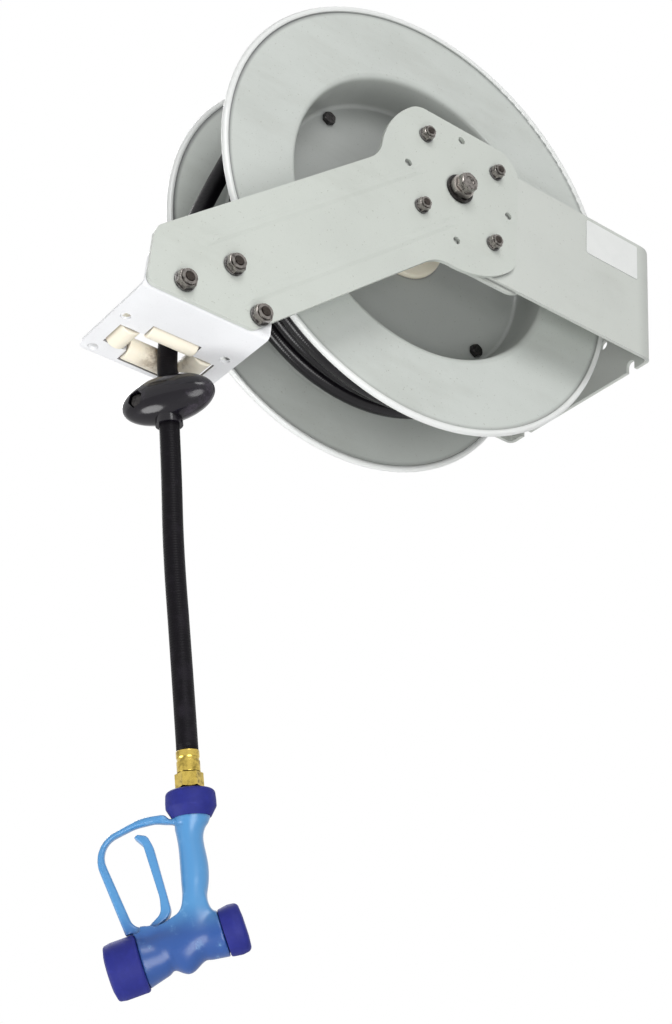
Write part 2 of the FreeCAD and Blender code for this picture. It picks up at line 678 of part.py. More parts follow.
def head_fasteners():
    """Bolts, washers and nuts that clamp arm, uprights and bearing plates together."""
    bolts, washers, nuts = [], [], []
    near_grip = BEARING_SHEET + FRAME_SHEET + ARM_SHEET + WASHER + M8[3] + THREAD_PROUD
    far_grip = BEARING_SHEET + FRAME_SHEET + WASHER + M8[3] + THREAD_PROUD
    for k in range(HEAD_POSITIONS // 2):
        angle = 45 + 90 * k
        bolts.append(bolt(M8, around_axle(HEAD_CIRCLE_R, angle, -PLATE_IN_Y), Y, near_grip))
        washers.append(washer(M8, around_axle(HEAD_CIRCLE_R, angle, -ARM_Y), -Y))
        nuts.append(lock_nut(M8, around_axle(HEAD_CIRCLE_R, angle, -ARM_Y - WASHER), -Y))
        bolts.append(bolt(M8, around_axle(HEAD_CIRCLE_R, angle, PLATE_IN_Y), -Y, far_grip))
        washers.append(washer(M8, around_axle(HEAD_CIRCLE_R, angle, UPRIGHT_Y), Y))
        nuts.append(lock_nut(M8, around_axle(HEAD_CIRCLE_R, angle, UPRIGHT_Y + WASHER), Y))
    return {"head_bolts": bolts, "head_washers": washers, "head_nuts": nuts}


def arm_end_fasteners():
    """Three bolts that hold the roller bracket against the inside of the arm's end."""
    bolts, washers, nuts = [], [], []
    inner = UPRIGHT_Y - BRACKET_SHEET
    grip = BRACKET_SHEET + ARM_SHEET + WASHER + M10[3] + THREAD_PROUD
    for x, z in END_BOLTS:
        bolts.append(bolt(M10, from_axle(x, -inner, z), Y, grip))
        washers.append(washer(M10, from_axle(x, -ARM_Y, z), -Y))
        nuts.append(lock_nut(M10, from_axle(x, -ARM_Y - WASHER, z), -Y))
    return {"arm_end_bolts": bolts, "arm_end_washers": washers, "arm_end_nuts": nuts}


def shaft_pieces():
    """The fixed shaft, solid at the arm's end and hollow from the water inlet to its ports."""
    near_y = -ARM_Y - SHAFT_NEAR_STAND
    far_y = UPRIGHT_Y + SHAFT_FAR_STAND
    round_part = rod(SHAFT_R, from_axle(0, -UPRIGHT_Y, 0), Y, far_y + UPRIGHT_Y)
    shaft = round_part.fuse(flatted(SHAFT_R, SHAFT_FLATS, near_y, -UPRIGHT_Y - near_y))
    bore_start = SWIVEL_PORT_Y - SHAFT_PORT_R * 2
    shaft = shaft.cut(rod(SHAFT_BORE_R, from_axle(0, bore_start, 0), Y, far_y - bore_start))
    for direction in (X, Z):
        start = from_axle(0, SWIVEL_PORT_Y, 0) - direction * SHAFT_R * 1.1
        shaft = shaft.cut(rod(SHAFT_PORT_R, start, direction, SHAFT_R * 2.2))
    shaft = shaft.cut(rod(END_BOLT_R + THREAD_FIT, from_axle(0, near_y, 0), Y, END_BOLT_SHANK + 1))
    shaft = shaft.removeSplitter()
    end_bolt_size = (END_BOLT_R, END_BOLT_FLATS, END_BOLT_HEAD, 0)
    end_bolt = bolt(end_bolt_size, from_axle(0, near_y, 0), -Y, END_BOLT_SHANK)
    dish = (END_BOLT_FLATS * 0.3, END_BOLT_FLATS * 0.26, 1.2)
    dimple = turned([(0, -1, 0), (dish[0], -1, 0), (dish[1], dish[2], 0.8), (0, dish[2], 0)],
                    from_axle(0, near_y - END_BOLT_HEAD, 0), Y)
    end_bolt = end_bolt.cut(dimple)
    near_washer = ring(SHAFT_WASHER_R, SHAFT_R + SHAFT_FIT, from_axle(0, -ARM_Y, 0), -Y, SHAFT_WASHER)
    far_washer = ring(SHAFT_WASHER_R * 1.35, SHAFT_R + SHAFT_FIT, from_axle(0, UPRIGHT_Y, 0), Y, SHAFT_WASHER)
    nut_y = UPRIGHT_Y + SHAFT_WASHER
    far_nut = hexagon(FAR_NUT_FLATS, from_axle(0, nut_y, 0), Y, FAR_NUT)
    far_nut = far_nut.cut(rod(SHAFT_R + THREAD_FIT, from_axle(0, nut_y, 0), Y, FAR_NUT))
    inlet = hexagon(INLET_FLATS, from_axle(0, far_y, 0), Y, INLET_HEX)
    thread_bevel = 1.2
    spigot = turned([(0, 0, 0), (INLET_THREAD_R, 0, 0), (INLET_THREAD_R, INLET_THREAD - thread_bevel, 0),
                     (INLET_THREAD_R - thread_bevel, INLET_THREAD, 0), (0, INLET_THREAD, 0)],
                    from_axle(0, far_y + INLET_HEX, 0), Y)
    inner_end = INLET_HEX + 2
    inner = rod(SHAFT_BORE_R - THREAD_FIT, from_axle(0, far_y - inner_end, 0), Y, inner_end)
    inlet = inlet.fuse(spigot).fuse(inner)
    whole = inner_end + INLET_HEX + INLET_THREAD
    inlet = inlet.cut(rod(INLET_BORE_R, from_axle(0, far_y - inner_end, 0), Y, whole)).removeSplitter()
    return {"main_shaft": [shaft], "shaft_washer": [near_washer], "shaft_end_bolt": [end_bolt],
            "shaft_far_washer": [far_washer], "shaft_far_nut": [far_nut], "inlet_fitting": [inlet]}


def rating_plate():
    """Blank plate on the near upright."""
    low_x = -LABEL_FROM_WALL - LABEL_LENGTH / 2
    corner = 2.0
    z = LABEL_MIDDLE_Z - LABEL_HEIGHT / 2
    return sheet([(low_x, z, corner), (low_x + LABEL_LENGTH, z, corner),
                  (low_x + LABEL_LENGTH, z + LABEL_HEIGHT, corner), (low_x, z + LABEL_HEIGHT, corner)],
                 lambda x, b: V(x, -UPRIGHT_Y - LABEL_SHEET, b), Y * LABEL_SHEET)


def roller_places():
    """Centre, axis, length of each roller."""
    centre = from_axle(OUTLET_X, OUTLET_Y, ROLLER_Z)
    return {"near_roller": (centre - Y * LONG_ROLLER_OFFSET, X, LONG_ROLLER),
            "far_roller": (centre + Y * LONG_ROLLER_OFFSET, X, LONG_ROLLER),
            "left_roller": (centre - X * SHORT_ROLLER_OFFSET, Y, SHORT_ROLLER),
            "right_roller": (centre + X * SHORT_ROLLER_OFFSET, Y, SHORT_ROLLER)}


def roller_bracket():
    """One folded sheet with a cross shaped window and a lug at each roller end."""
    far_y = -UPRIGHT_Y + BRACKET_DEPTH
    under = BRACKET_UNDER
    bend = BRACKET_BEND + BRACKET_SHEET
    length = BRACKET_BACK - BRACKET_FRONT
    lip_top = under + BRACKET_LIP
    bracket = sheet([(-UPRIGHT_Y, under, bend), (far_y, under, bend), (far_y, lip_top, 0),
                     (far_y - BRACKET_SHEET, lip_top, 0),
                     (far_y - BRACKET_SHEET, BRACKET_PLATE_Z, BRACKET_BEND),
                     (-UPRIGHT_Y + BRACKET_SHEET, BRACKET_PLATE_Z, BRACKET_BEND),
                     (-UPRIGHT_Y + BRACKET_SHEET, BRACKET_TOP, 0), (-UPRIGHT_Y, BRACKET_TOP, 0)],
                    lambda y, z: from_axle(BRACKET_FRONT, y, z), X * length)
    front_shoulder, back_shoulder = BRACKET_SHOULDERS
    keep = sheet([(BRACKET_FRONT, under, 0), (BRACKET_BACK, under, 0),
                  (BRACKET_BACK, BRACKET_TOP - back_shoulder, BRACKET_CORNER),
                  (BRACKET_BACK - back_shoulder, BRACKET_TOP, BRACKET_CORNER),
                  (BRACKET_FRONT + front_shoulder, BRACKET_TOP, BRACKET_CORNER),
                  (BRACKET_FRONT, BRACKET_TOP - front_shoulder, BRACKET_CORNER)],
                 side_view(-UPRIGHT_Y), Y * BRACKET_DEPTH)
    bracket = bracket.common(keep)
    corners = sheet([(BRACKET_FRONT, -UPRIGHT_Y, 0), (BRACKET_BACK, -UPRIGHT_Y, 0),
                     (BRACKET_BACK, far_y, BRACKET_CORNER), (BRACKET_FRONT, far_y, BRACKET_CORNER)],
                    lambda x, y: from_axle(x, y, under), Z * (BRACKET_TOP - under))
    bracket = bracket.common(corners)
    lug_foot = BRACKET_PLATE_Z - BRACKET_SHEET / 2
    pins = []
    for centre, axis, roller_length in roller_places().values():
        across = Y if axis == X else X
        lug_at = roller_length / 2 + ROLLER_END_CLEARANCE
        window_half = ROLLER_R + ROLLER_WINDOW_CLEARANCE
        reach = lug_at
        low = centre - axis * reach - across * window_half
        high = centre + axis * reach + across * window_half
        bracket = bracket.cut(box(V(low.x, low.y, under), V(high.x, high.y, ROLLER_Z + ROLLER_R)))
        for side in (-1, 1):
            inner = centre + axis * (side * lug_at)
            outer = centre + axis * (side * (lug_at + LUG_SHEET))
            a = inner - across * (LUG_WIDTH / 2)
            b = outer + across * (LUG_WIDTH / 2)
            lug = box(V(min(a.x, b.x), min(a.y, b.y), lug_foot),
                      V(max(a.x, b.x), max(a.y, b.y), ROLLER_Z + LUG_ABOVE_PIN))
            lug_edges = [edge for edge in lug.Edges if edge.CenterOfMass.z > ROLLER_Z + LUG_ABOVE_PIN - 0.1
                         and abs(edge.tangentAt(edge.FirstParameter).dot(axis)) > 0.99]
            bracket = bracket.fuse(lug.makeFillet(LUG_ABOVE_PIN * 0.8, lug_edges))
        pins.append(rod(ROLLER_PIN_R + THREAD_FIT, centre - axis * (lug_at + LUG_SHEET + 1), axis,
                        2 * (lug_at + LUG_SHEET + 1)))
    outlet = from_axle(OUTLET_X, OUTLET_Y, under)
    long_half = LONG_ROLLER / 2 + ROLLER_END_CLEARANCE
    short_half = SHORT_ROLLER / 2 + ROLLER_END_CLEARANCE
    for half_x, half_y in ((long_half, LONG_ROLLER_OFFSET), (SHORT_ROLLER_OFFSET, short_half)):
        bracket = bracket.cut(box(outlet - X * half_x - Y * half_y,
                                  outlet + X * half_x + Y * half_y + Z * BRACKET_SHEET))
    for pin in pins:
        bracket = bracket.cut(pin)
    for sx in (-1, 1):
        for sy in (-1, 1):
            spot = outlet + X * (sx * BRACKET_HOLE_X) + Y * (sy * BRACKET_HOLE_Y)
            bracket = bracket.cut(rod(BRACKET_HOLE_R, spot, Z, BRACKET_SHEET))
    for x, z in END_BOLTS:
        bracket = bracket.cut(rod(M10[0] + 2 * SHAFT_FIT, from_axle(x, -UPRIGHT_Y, z), Y, BRACKET_SHEET))
    return bracket.removeSplitter()


def rollers():
    """Four rollers with rounded ends, and the headed pins that they turn on."""
    pieces = {"long_roller_pins": [], "short_roller_pins": []}
    end_round = 1.5
    for name, (centre, axis, length) in roller_places().items():
        bore = ROLLER_PIN_R + ROLLER_BORE_CLEARANCE
        roller = turned([(bore, -length / 2, 0), (ROLLER_R, -length / 2, end_round),
                         (ROLLER_R, length / 2, end_round), (bore, length / 2, 0)], centre, axis)
        pieces[name] = [roller]
        pin_half = length / 2 + ROLLER_END_CLEARANCE + LUG_SHEET
        end = pin_half + PIN_HEAD
        pin = turned([(0, -end, 0), (PIN_HEAD_R, -end, 0.6), (PIN_HEAD_R, -pin_half, 0),
                      (ROLLER_PIN_R, -pin_half, 0), (ROLLER_PIN_R, pin_half, 0), (PIN_HEAD_R, pin_half, 0),
                      (PIN_HEAD_R, end, 0.6), (0, end, 0)], centre, axis)
        pieces["long_roller_pins" if length == LONG_ROLLER else "short_roller_pins"].append(pin)
    return pieces


def recess_wall_r(y):
    """Outer radius of the recess wall at a distance y from the drum's middle."""
    share = (y - RECESS_FLOOR_Y) / (FLANGE_Y - RECESS_FLOOR_Y)
    return RECESS_FLOOR_R + (RECESS_MOUTH_R - RECESS_FLOOR_R) * share + DISC_SHEET


def disc(side, flange_r):
    """Pressed disc: recess floor, recess wall, flange and rolled rim."""
    inner_y = FLANGE_Y - DISC_SHEET
    profile = [(HUB_HOLE_R, RECESS_FLOOR_Y, 0), (RECESS_FLOOR_R, RECESS_FLOOR_Y, FLANGE_BEND),
               (RECESS_MOUTH_R, FLANGE_Y, FLANGE_BEND + DISC_SHEET), (flange_r - RIM_R / 2, FLANGE_Y, 0),
               (flange_r - RIM_R / 2, inner_y, 0), (RECESS_MOUTH_R + DISC_SHEET, inner_y, FLANGE_BEND),
               (RECESS_FLOOR_R + DISC_SHEET, FLOOR_IN_Y, FLANGE_BEND + DISC_SHEET),
               (HUB_HOLE_R, FLOOR_IN_Y, 0)]
    body = turned(profile, AXLE, Y * side)
    rim_r = flange_r + RIM_OVERHANG - RIM_R
    rim = Part.makeTorus(rim_r, RIM_R, from_axle(0, side * (FLANGE_Y - RIM_SET_IN), 0), Y)
    body = body.fuse(rim)
    for k in range(4):
        spot = around_axle(TIE_CIRCLE_R, TIE_ANGLE + 90 * k, side * FLOOR_IN_Y)
        body = body.cut(rod(TIE_HOLE_R, spot, Y * side, DISC_SHEET))
        spot = around_axle(HUB_SCREW_CIRCLE_R, 90 * k, side * FLOOR_IN_Y)
        body = body.cut(rod(HUB_SCREW_R + THREAD_FIT, spot, Y * side, DISC_SHEET))
    if side > 0:
        beyond = RECESS_MOUTH_R + 2 * DISC_SHEET
        body = body.cut(riser_line(RISER_R + THREAD_FIT, RECESS_FLOOR_R - DISC_SHEET, beyond))
    return body.removeSplitter()


def drum_fasteners():
    """Four bolts through both recess floors."""
    bolts, nuts = [], []
    grip = 2 * RECESS_FLOOR_Y + M8[3] + THREAD_PROUD
    for k in range(4):
        angle = TIE_ANGLE + 90 * k
        bolts.append(bolt(M8, around_axle(TIE_CIRCLE_R, angle, -RECESS_FLOOR_Y), -Y, grip))
        nuts.append(lock_nut(M8, around_axle(TIE_CIRCLE_R, angle, RECESS_FLOOR_Y), Y))
    return {"tie_bolts": bolts, "tie_nuts": nuts}


def riser_line(radius, start, end):
    """Round bar along the riser pipe's line, between two distances from the axle."""
    direction = unit(around_axle(1, RISER_ANGLE, 0) - AXLE)
    return rod(radius, around_axle(start, RISER_ANGLE, SWIVEL_PORT_Y), direction, end - start)


def hubs():
    """Cream hub on the near side, swivel hub with seals, riser pipe and nut on the far side."""
    end_y = PLATE_IN_Y - NEAR_HUB_GAP
    seat_y = end_y - RATCHET_WHEEL - NEAR_HUB_GAP
    flange_y = RECESS_FLOOR_Y + NEAR_HUB_FLANGE
    bore = SHAFT_R + SHAFT_FIT
    near = turned([(bore, FLOOR_IN_Y, 0), (HUB_HOLE_R, FLOOR_IN_Y, 0), (HUB_HOLE_R, RECESS_FLOOR_Y, 0),
                   (NEAR_HUB_FLANGE_R, RECESS_FLOOR_Y, 0), (NEAR_HUB_FLANGE_R, flange_y, 2.0),
                   (NEAR_HUB_BARREL_R, flange_y, 4.0), (NEAR_HUB_BARREL_R, seat_y, 0),
                   (RATCHET_SEAT_R, seat_y, 0), (RATCHET_SEAT_R, end_y, 1.0), (bore, end_y, 0)], AXLE, -Y)
    port = SWIVEL_PORT_Y
    swivel_flange_y = RECESS_FLOOR_Y + NEAR_HUB_FLANGE
    end = RECESS_FLOOR_Y + SWIVEL_LENGTH
    half = SWIVEL_CHAMBER / 2
    swivel = turned([(bore, FLOOR_IN_Y, 0), (HUB_HOLE_R, FLOOR_IN_Y, 0), (HUB_HOLE_R, RECESS_FLOOR_Y, 0),
                     (SWIVEL_FLANGE_R, RECESS_FLOOR_Y, 0), (SWIVEL_FLANGE_R, swivel_flange_y, 1.5),
                     (SWIVEL_BARREL_R, swivel_flange_y, 3.0), (SWIVEL_BARREL_R, end, 2.0), (bore, end, 0)],
                    AXLE, Y)
    swivel = swivel.cut(ring(SWIVEL_CHAMBER_R, bore - 1, from_axle(0, port - half, 0), Y, SWIVEL_CHAMBER))
    seals = []
    for offset in (-SEAL_OFFSET, SEAL_OFFSET):
        groove_y = port + offset - SEAL_GROOVE / 2
        swivel = swivel.cut(ring(SEAL_GROOVE_R, bore - 1, from_axle(0, groove_y, 0), Y, SEAL_GROOVE))
        seal_r = SHAFT_R + 2 * SHAFT_FIT + SEAL_WIRE_R
        seals.append(Part.makeTorus(seal_r, SEAL_WIRE_R, from_axle(0, port + offset, 0), Y))
    swivel = swivel.cut(riser_line(RISER_R + THREAD_FIT, SWIVEL_CHAMBER_R, SWIVEL_BARREL_R + 2))
    screws = []
    for k in range(4):
        for side, flange in ((-1, flange_y), (1, swivel_flange_y)):
            seat = around_axle(HUB_SCREW_CIRCLE_R, 90 * k, side * flange)
            hole = rod(HUB_SCREW_R + THREAD_FIT, seat, Y * -side, flange)
            if side < 0:
                near = near.cut(hole)
            else:
                swivel = swivel.cut(hole)
            screws.append(bolt(M6, seat, Y * side, flange - FLOOR_IN_Y))
    riser = riser_line(RISER_R, SWIVEL_CHAMBER_R + 1, RISER_END_R)
    riser = riser.cut(riser_line(RISER_BORE_R, SWIVEL_CHAMBER_R, RISER_END_R - RISER_CLOSED_END))
    floor_gap = 2.0
    nut_end = recess_wall_r(port - RISER_NUT_FLATS / 2) - DISC_SHEET - floor_gap
    direction = unit(around_axle(1, RISER_ANGLE, 0) - AXLE)
    nut_start = around_axle(nut_end - RISER_NUT, RISER_ANGLE, port)
    riser_nut = hexagon(RISER_NUT_FLATS, nut_start, direction, RISER_NUT)
    riser_nut = riser_nut.cut(riser_line(RISER_R + THREAD_FIT, nut_end - 2 * RISER_NUT, nut_end + 1))
    return {"near_hub": [near.removeSplitter()], "swivel_hub": [swivel.removeSplitter()],
            "swivel_seals": seals, "hub_screws": screws, "riser_pipe": [riser], "riser_nut": [riser_nut]}


def power_spring():
    """Spiral strip by half turns, from the arbor on the shaft to the anchor on the drum band."""
    step = (SPRING_OUTER_R - SPRING_INNER_R) / SPRING_TURNS
    half = SPRING_STRIP / 2
    y = -SPRING_WIDTH / 2
    outer, inner = [], []
    for k in range(2 * SPRING_TURNS):
        radius = SPRING_INNER_R + step / 2 * k
        centre_x = 0 if k % 2 == 0 else step / 2
        top = 1 if k % 2 == 0 else -1
        for edges, r in ((outer, radius + half), (inner, radius - half)):
            edges.append(Part.Arc(from_axle(centre_x + top * r, y, 0), from_axle(centre_x, y, top * r),
                                  from_axle(centre_x - top * r, y, 0)).toShape())
    first_inner, first_outer = (e.valueAt(e.FirstParameter) for e in (inner[0], outer[0]))
    last_inner, last_outer = (e.valueAt(e.LastParameter) for e in (inner[-1], outer[-1]))
    start = Part.LineSegment(first_inner, first_outer).toShape()
    end = Part.LineSegment(last_outer, last_inner).toShape()
    wire = Part.Wire(Part.__sortEdges__([start] + outer + [end] + inner))
    strip = Part.Face(wire).extrude(Y * SPRING_WIDTH)
    tab_start = SPRING_INNER_R - SPRING_TAB
    tab = box(from_axle(tab_start, y, -SPRING_STRIP), from_axle(SPRING_INNER_R + half * 0.9, -y, 0))
    spring = strip.fuse(tab).removeSplitter()
    arbor = ring(ARBOR_R, SHAFT_R + THREAD_FIT, from_axle(0, y, 0), Y, SPRING_WIDTH)
    gap = SPRING_SLOT_CLEARANCE
    slot = box(from_axle(tab_start - gap, y, -SPRING_STRIP - gap), from_axle(ARBOR_R + 1, -y, gap))
    arbor = arbor.cut(slot)
    band_in = RECESS_FLOOR_R - DISC_SHEET
    anchor = box(from_axle(SPRING_OUTER_R + half + gap, y, -ANCHOR_WIDTH / 2),
                 from_axle(RECESS_FLOOR_R, -y, ANCHOR_WIDTH / 2))
    anchor = anchor.common(rod(band_in, from_axle(0, y, 0), Y, SPRING_WIDTH))
    return {"power_spring": [spring], "spring_arbor": [arbor], "spring_anchor": [anchor]}


def ratchet():
    """Ratchet wheel on the near hub, and the pawl, its pin and spring on the bearing plate."""
    wheel_far = PLATE_IN_Y - NEAR_HUB_GAP - NEAR_HUB_GAP
    points = []
    for k in range(TEETH):
        angle = math.radians(TOOTH_FACE_ANGLE + 360 / TEETH * k)
        points.append((TOOTH_ROOT_R * math.cos(angle), TOOTH_ROOT_R * math.sin(angle), 0))
        points.append((TOOTH_R * math.cos(angle), TOOTH_R * math.sin(angle), 0))
    wheel = sheet(points, side_view(-wheel_far), Y * RATCHET_WHEEL)
    wheel = wheel.cut(rod(RATCHET_SEAT_R + THREAD_FIT, from_axle(0, -wheel_far, 0), Y, RATCHET_WHEEL))
    pivot = from_axle(PAWL_X, 0, PAWL_Z)
    pawl_far = wheel_far - (RATCHET_WHEEL - PAWL_SHEET) / 2
    tip_angle = math.radians(PAWL_TIP_ANGLE)
    tip = (PAWL_TIP_R * math.cos(tip_angle), PAWL_TIP_R * math.sin(tip_angle))
    pawl = sheet([(tip[0], tip[1], 0.6), (PAWL_X + 4, PAWL_Z - PAWL_EYE_R + 1, 0),
                  (PAWL_X - 3, PAWL_Z + PAWL_EYE_R - 1, 0), (tip[0] - 1, tip[1] + PAWL_TIP_HEIGHT, 2.5)],
                 side_view(-pawl_far), Y * PAWL_SHEET)
    pawl = pawl.fuse(rod(PAWL_EYE_R, V(pivot.x, -pawl_far, pivot.z), Y, PAWL_SHEET)).removeSplitter()
    pawl = pawl.cut(rod(PAWL_PIN_R + ROLLER_BORE_CLEARANCE, V(pivot.x, -pawl_far, pivot.z), Y, PAWL_SHEET))
    pawl.rotate(pivot, Y, PAWL_LIFT)
    head_y = -(pawl_far - PAWL_SHEET - PAWL_HEAD_GAP)
    pin_end = head_y + PAWL_HEAD
    pin = turned([(0, -UPRIGHT_IN_Y, 0), (PAWL_PIN_R, -UPRIGHT_IN_Y, 0), (PAWL_PIN_R, head_y, 0),
                  (PAWL_HEAD_R, head_y, 0), (PAWL_HEAD_R, pin_end, 0.5), (0, pin_end, 0)], pivot, Y)
    middle = -(PLATE_IN_Y + pawl_far) / 2
    half_coil = (PLATE_IN_Y - pawl_far) * PAWL_SPRING_SHARE / 2
    low = middle - half_coil
    high = middle + half_coil

    def around_pin(radius, turn, along):
        angle = 2 * math.pi * turn
        return pivot + V(radius * math.cos(angle), along, radius * math.sin(angle))

    wound = coil(around_pin, PAWL_SPRING_TURNS, PAWL_SPRING_R, low, high, PAWL_SPRING_WIRE_R)
    edges, start, tangent = wound[:3]
    least_gap(edges, PAWL_SPRING_WIRE_R, 0.8, "pawl spring")
    spring = pipe(edges, PAWL_SPRING_WIRE_R, start, tangent)
    return {"ratchet_wheel": [wheel], "pawl": [pawl], "pawl_pin": [pin], "pawl_spring": [spring]}


def on_drum(radius, turn, along):
    return around_axle(radius, LEAVE_ANGLE + 360 * turn, along)


def winding():
    """Outer layer of the wound hose, over part of a plain core that stands for the layer below."""
    wound = coil(on_drum, WINDING_TURNS, WINDING_R, WINDING_START_Y, LEAVE_Y, HOSE_R)
    edges, start, start_tangent, end, end_tangent = wound
    least_gap(edges, HOSE_R, 12.0, "hose winding")
    turns = pipe(edges, HOSE_R, start, start_tangent)
    core = ring(CORE_R, CORE_INNER_R, from_axle(0, -CORE_Y, 0), Y, 2 * CORE_Y)
    section = Part.Face(Part.Wire([Part.Circle(start, start_tangent, HOSE_R).toShape()]))
    inward = unit(V(AXLE_X - start.x, 0, -start.z))
    climb = section.revolve(start + inward * CLIMB_R, start_tangent.cross(inward), -CLIMB_ANGLE)
    climb = climb.cut(rod(CORE_INNER_R, from_axle(0, -CORE_Y, 0), Y, 2 * CORE_Y))
    core = core.fuse(climb).cut(riser_line(RISER_R + 5, CORE_INNER_R - 2, CORE_R - 2))
    return core.removeSplitter(), turns, end, end_tangent


def hose_route(drum_end, drum_tangent):
    """Straight runs and tangent arcs from the drum to the gun, split between the rollers."""
    points = [drum_end, drum_end + drum_tangent * LEAD_START]
    points += [from_axle(*p) for p in LEAD_POINTS + FREE_POINTS]
    points.append(from_axle(*HOSE_END))
    split = len(LEAD_POINTS) + 1
    lead, free = [], []
    here = points[0]
    for i in range(1, len(points)):
        edges = lead if i < split else free
        corner = points[i]
        run = corner - here
        if i == len(points) - 1:
            edges.append(Part.LineSegment(here, corner).toShape())
            break
        before = points[i] - points[i - 1]
        after = points[i + 1] - points[i]
        half_turn = before.getAngle(after) / 2
        reach = 0.45 * min(before.Length, after.Length)
        turn = math.degrees(2 * half_turn)
        print("hose turn of %.1f degrees, radius %.0f mm" % (turn, reach / math.tan(half_turn)))
        arc_start = corner - unit(before) * reach
        arc_end = corner + unit(after) * reach
        if i == split:
            middle = (points[i - 1] + corner) / 2
            lead.append(Part.LineSegment(here, middle).toShape())
            here = middle
        edges.append(Part.LineSegment(here, arc_start).toShape())
        edges.append(arc_through(arc_start, arc_middle(arc_start, unit(before), arc_end), arc_end))
        here = arc_end
    return points, lead, free, middle


def hose_frame(direction, degrees):
    """Directions across the hose, turned about it: back, and towards the near side."""
    level = unit(direction.cross(Y))
    if level.x < 0:
        level = -level
    turn = math.radians(degrees)
    back = level * math.cos(turn) - Y * math.sin(turn)
    return back, unit(direction.cross(back))


def ball_stop(points):
    """Two half shells clamped on the hose by two bolts, one from each side."""
    top, bottom = points[len(LEAD_POINTS) + 1], points[len(LEAD_POINTS) + 2]
    down = unit(bottom - top)
    centre = top + down * STOP_ALONG
    back, near = hose_frame(down, STOP_TURN)
    half_length, half_depth, half_height = STOP_LENGTH / 2, STOP_DEPTH / 2, STOP_HEIGHT / 2
    rows = []
    for b, n, d, c in zip(back, near, down, centre):
        rows += [b * half_length, n * half_depth, d * half_height, c]
    ball = Part.makeSphere(1).transformGeometry(FreeCAD.Matrix(*rows, 0, 0, 0, 1))
    collar = rod(STOP_COLLAR_R, centre, down, half_height + STOP_COLLAR)
    ball = ball.fuse(collar).cut(rod(HOSE_R + STOP_FIT, centre - down * STOP_HEIGHT, down, 2 * STOP_HEIGHT))
    halves = {}
    for name, side in (("stop_front", near), ("stop_back", -near)):
        slab_start = centre + side * (STOP_SEAM / 2) - back * STOP_LENGTH - down * STOP_HEIGHT
        long, high = 2 * STOP_LENGTH, 2 * STOP_HEIGHT
        slab = sheet([(0, 0, 0), (long, 0, 0), (long, high, 0), (0, high, 0)],
                     lambda a, b: slab_start + back * a + down * b, side * STOP_DEPTH)
        halves[name] = ball.common(slab)
    bolts = []
    for offset, headed, threaded, side in ((-STOP_BOLT_OFFSET, "stop_front", "stop_back", near),
                                           (STOP_BOLT_OFFSET, "stop_back", "stop_front", -near)):
        seat = centre + back * offset + side * STOP_BOLT_SEAT
        grip = STOP_BOLT_SEAT + STOP_BOLT_REACH
        halves[headed] = halves[headed].cut(hexagon(STOP_POCKET_FLATS, seat, side, STOP_DEPTH))
        for name in (headed, threaded):
            halves[name] = halves[name].cut(rod(STOP_BOLT_R + THREAD_FIT, seat, -side, grip + 1))
        bolts.append(bolt((STOP_BOLT_R, STOP_BOLT_FLATS, STOP_BOLT_HEAD, 0), seat, side, grip))
    return {"stop_front": [halves["stop_front"]], "stop_back": [halves["stop_back"]], "stop_bolts": bolts}


GUN_END = from_axle(*HOSE_END)
GUN_DOWN = unit(GUN_END - from_axle(*FREE_POINTS[-1]))
GUN_BACK, GUN_NEAR = hose_frame(GUN_DOWN, GUN_TURN)
GUN_BARREL = GUN_BACK * math.cos(math.radians(BARREL_TILT)) - GUN_DOWN * math.sin(math.radians(BARREL_TILT))


def gun_place(g, w):
    """Point of the gun's middle plane: g back from the hose's line, w down from the hose's end."""
    return GUN_END + GUN_BACK * g + GUN_DOWN * w


GUN_NOSE = gun_place(*BARREL_FRONT)
GUN_PIVOT = gun_place(*TRIGGER_PIVOT)
BARREL_UNDER = unit(GUN_BARREL.cross(GUN_NEAR))
if BARREL_UNDER.dot(GUN_DOWN) < 0:
    BARREL_UNDER = -BARREL_UNDER


def loft_through(start, along, across, ovals):
    """Smooth loft through ovals: distance along, one edge and the other edge across, half thickness."""
    wires = []
    for distance, low, high, half in ovals:
        middle = start + along * distance + across * ((low + high) / 2)
        wide = across * ((high - low) / 2)
        thick = GUN_NEAR * half
        points = []
        for k in range(OVAL_POINTS):
            angle = 2 * math.pi * k / OVAL_POINTS
            points.append(middle + wide * math.cos(angle) + thick * math.sin(angle))
        curve = Part.BSplineCurve()
        curve.interpolate(points, True)
        wires.append(Part.Wire([curve.toShape()]))
    return Part.makeLoft(wires, True, False)


def gun_slab(points, half):
    """Flat piece of the gun, from an outline in its middle plane."""
    return sheet(points, lambda g, w: gun_place(g, w) - GUN_NEAR * half, GUN_NEAR * (2 * half))


def barrel_turned(points):
    """Turned piece on the barrel's axis, with distances from the nose."""
    return turned(points, GUN_NOSE, GUN_BARREL)


def round_gun_edges(solid, radius, lowest, back_limit):
    """Fillets the edges of a slab that lie in its faces, above lowest and in front of back_limit."""
    edges = []
    for edge in solid.Edges:
        from_end = edge.CenterOfMass - GUN_END
        in_face = abs(edge.tangentAt(edge.FirstParameter).dot(GUN_NEAR)) < 0.5
        if in_face and from_end.dot(GUN_DOWN) < lowest and from_end.dot(GUN_BACK) < back_limit:
            edges.append(edge)
    return solid.makeFillet(radius, edges)


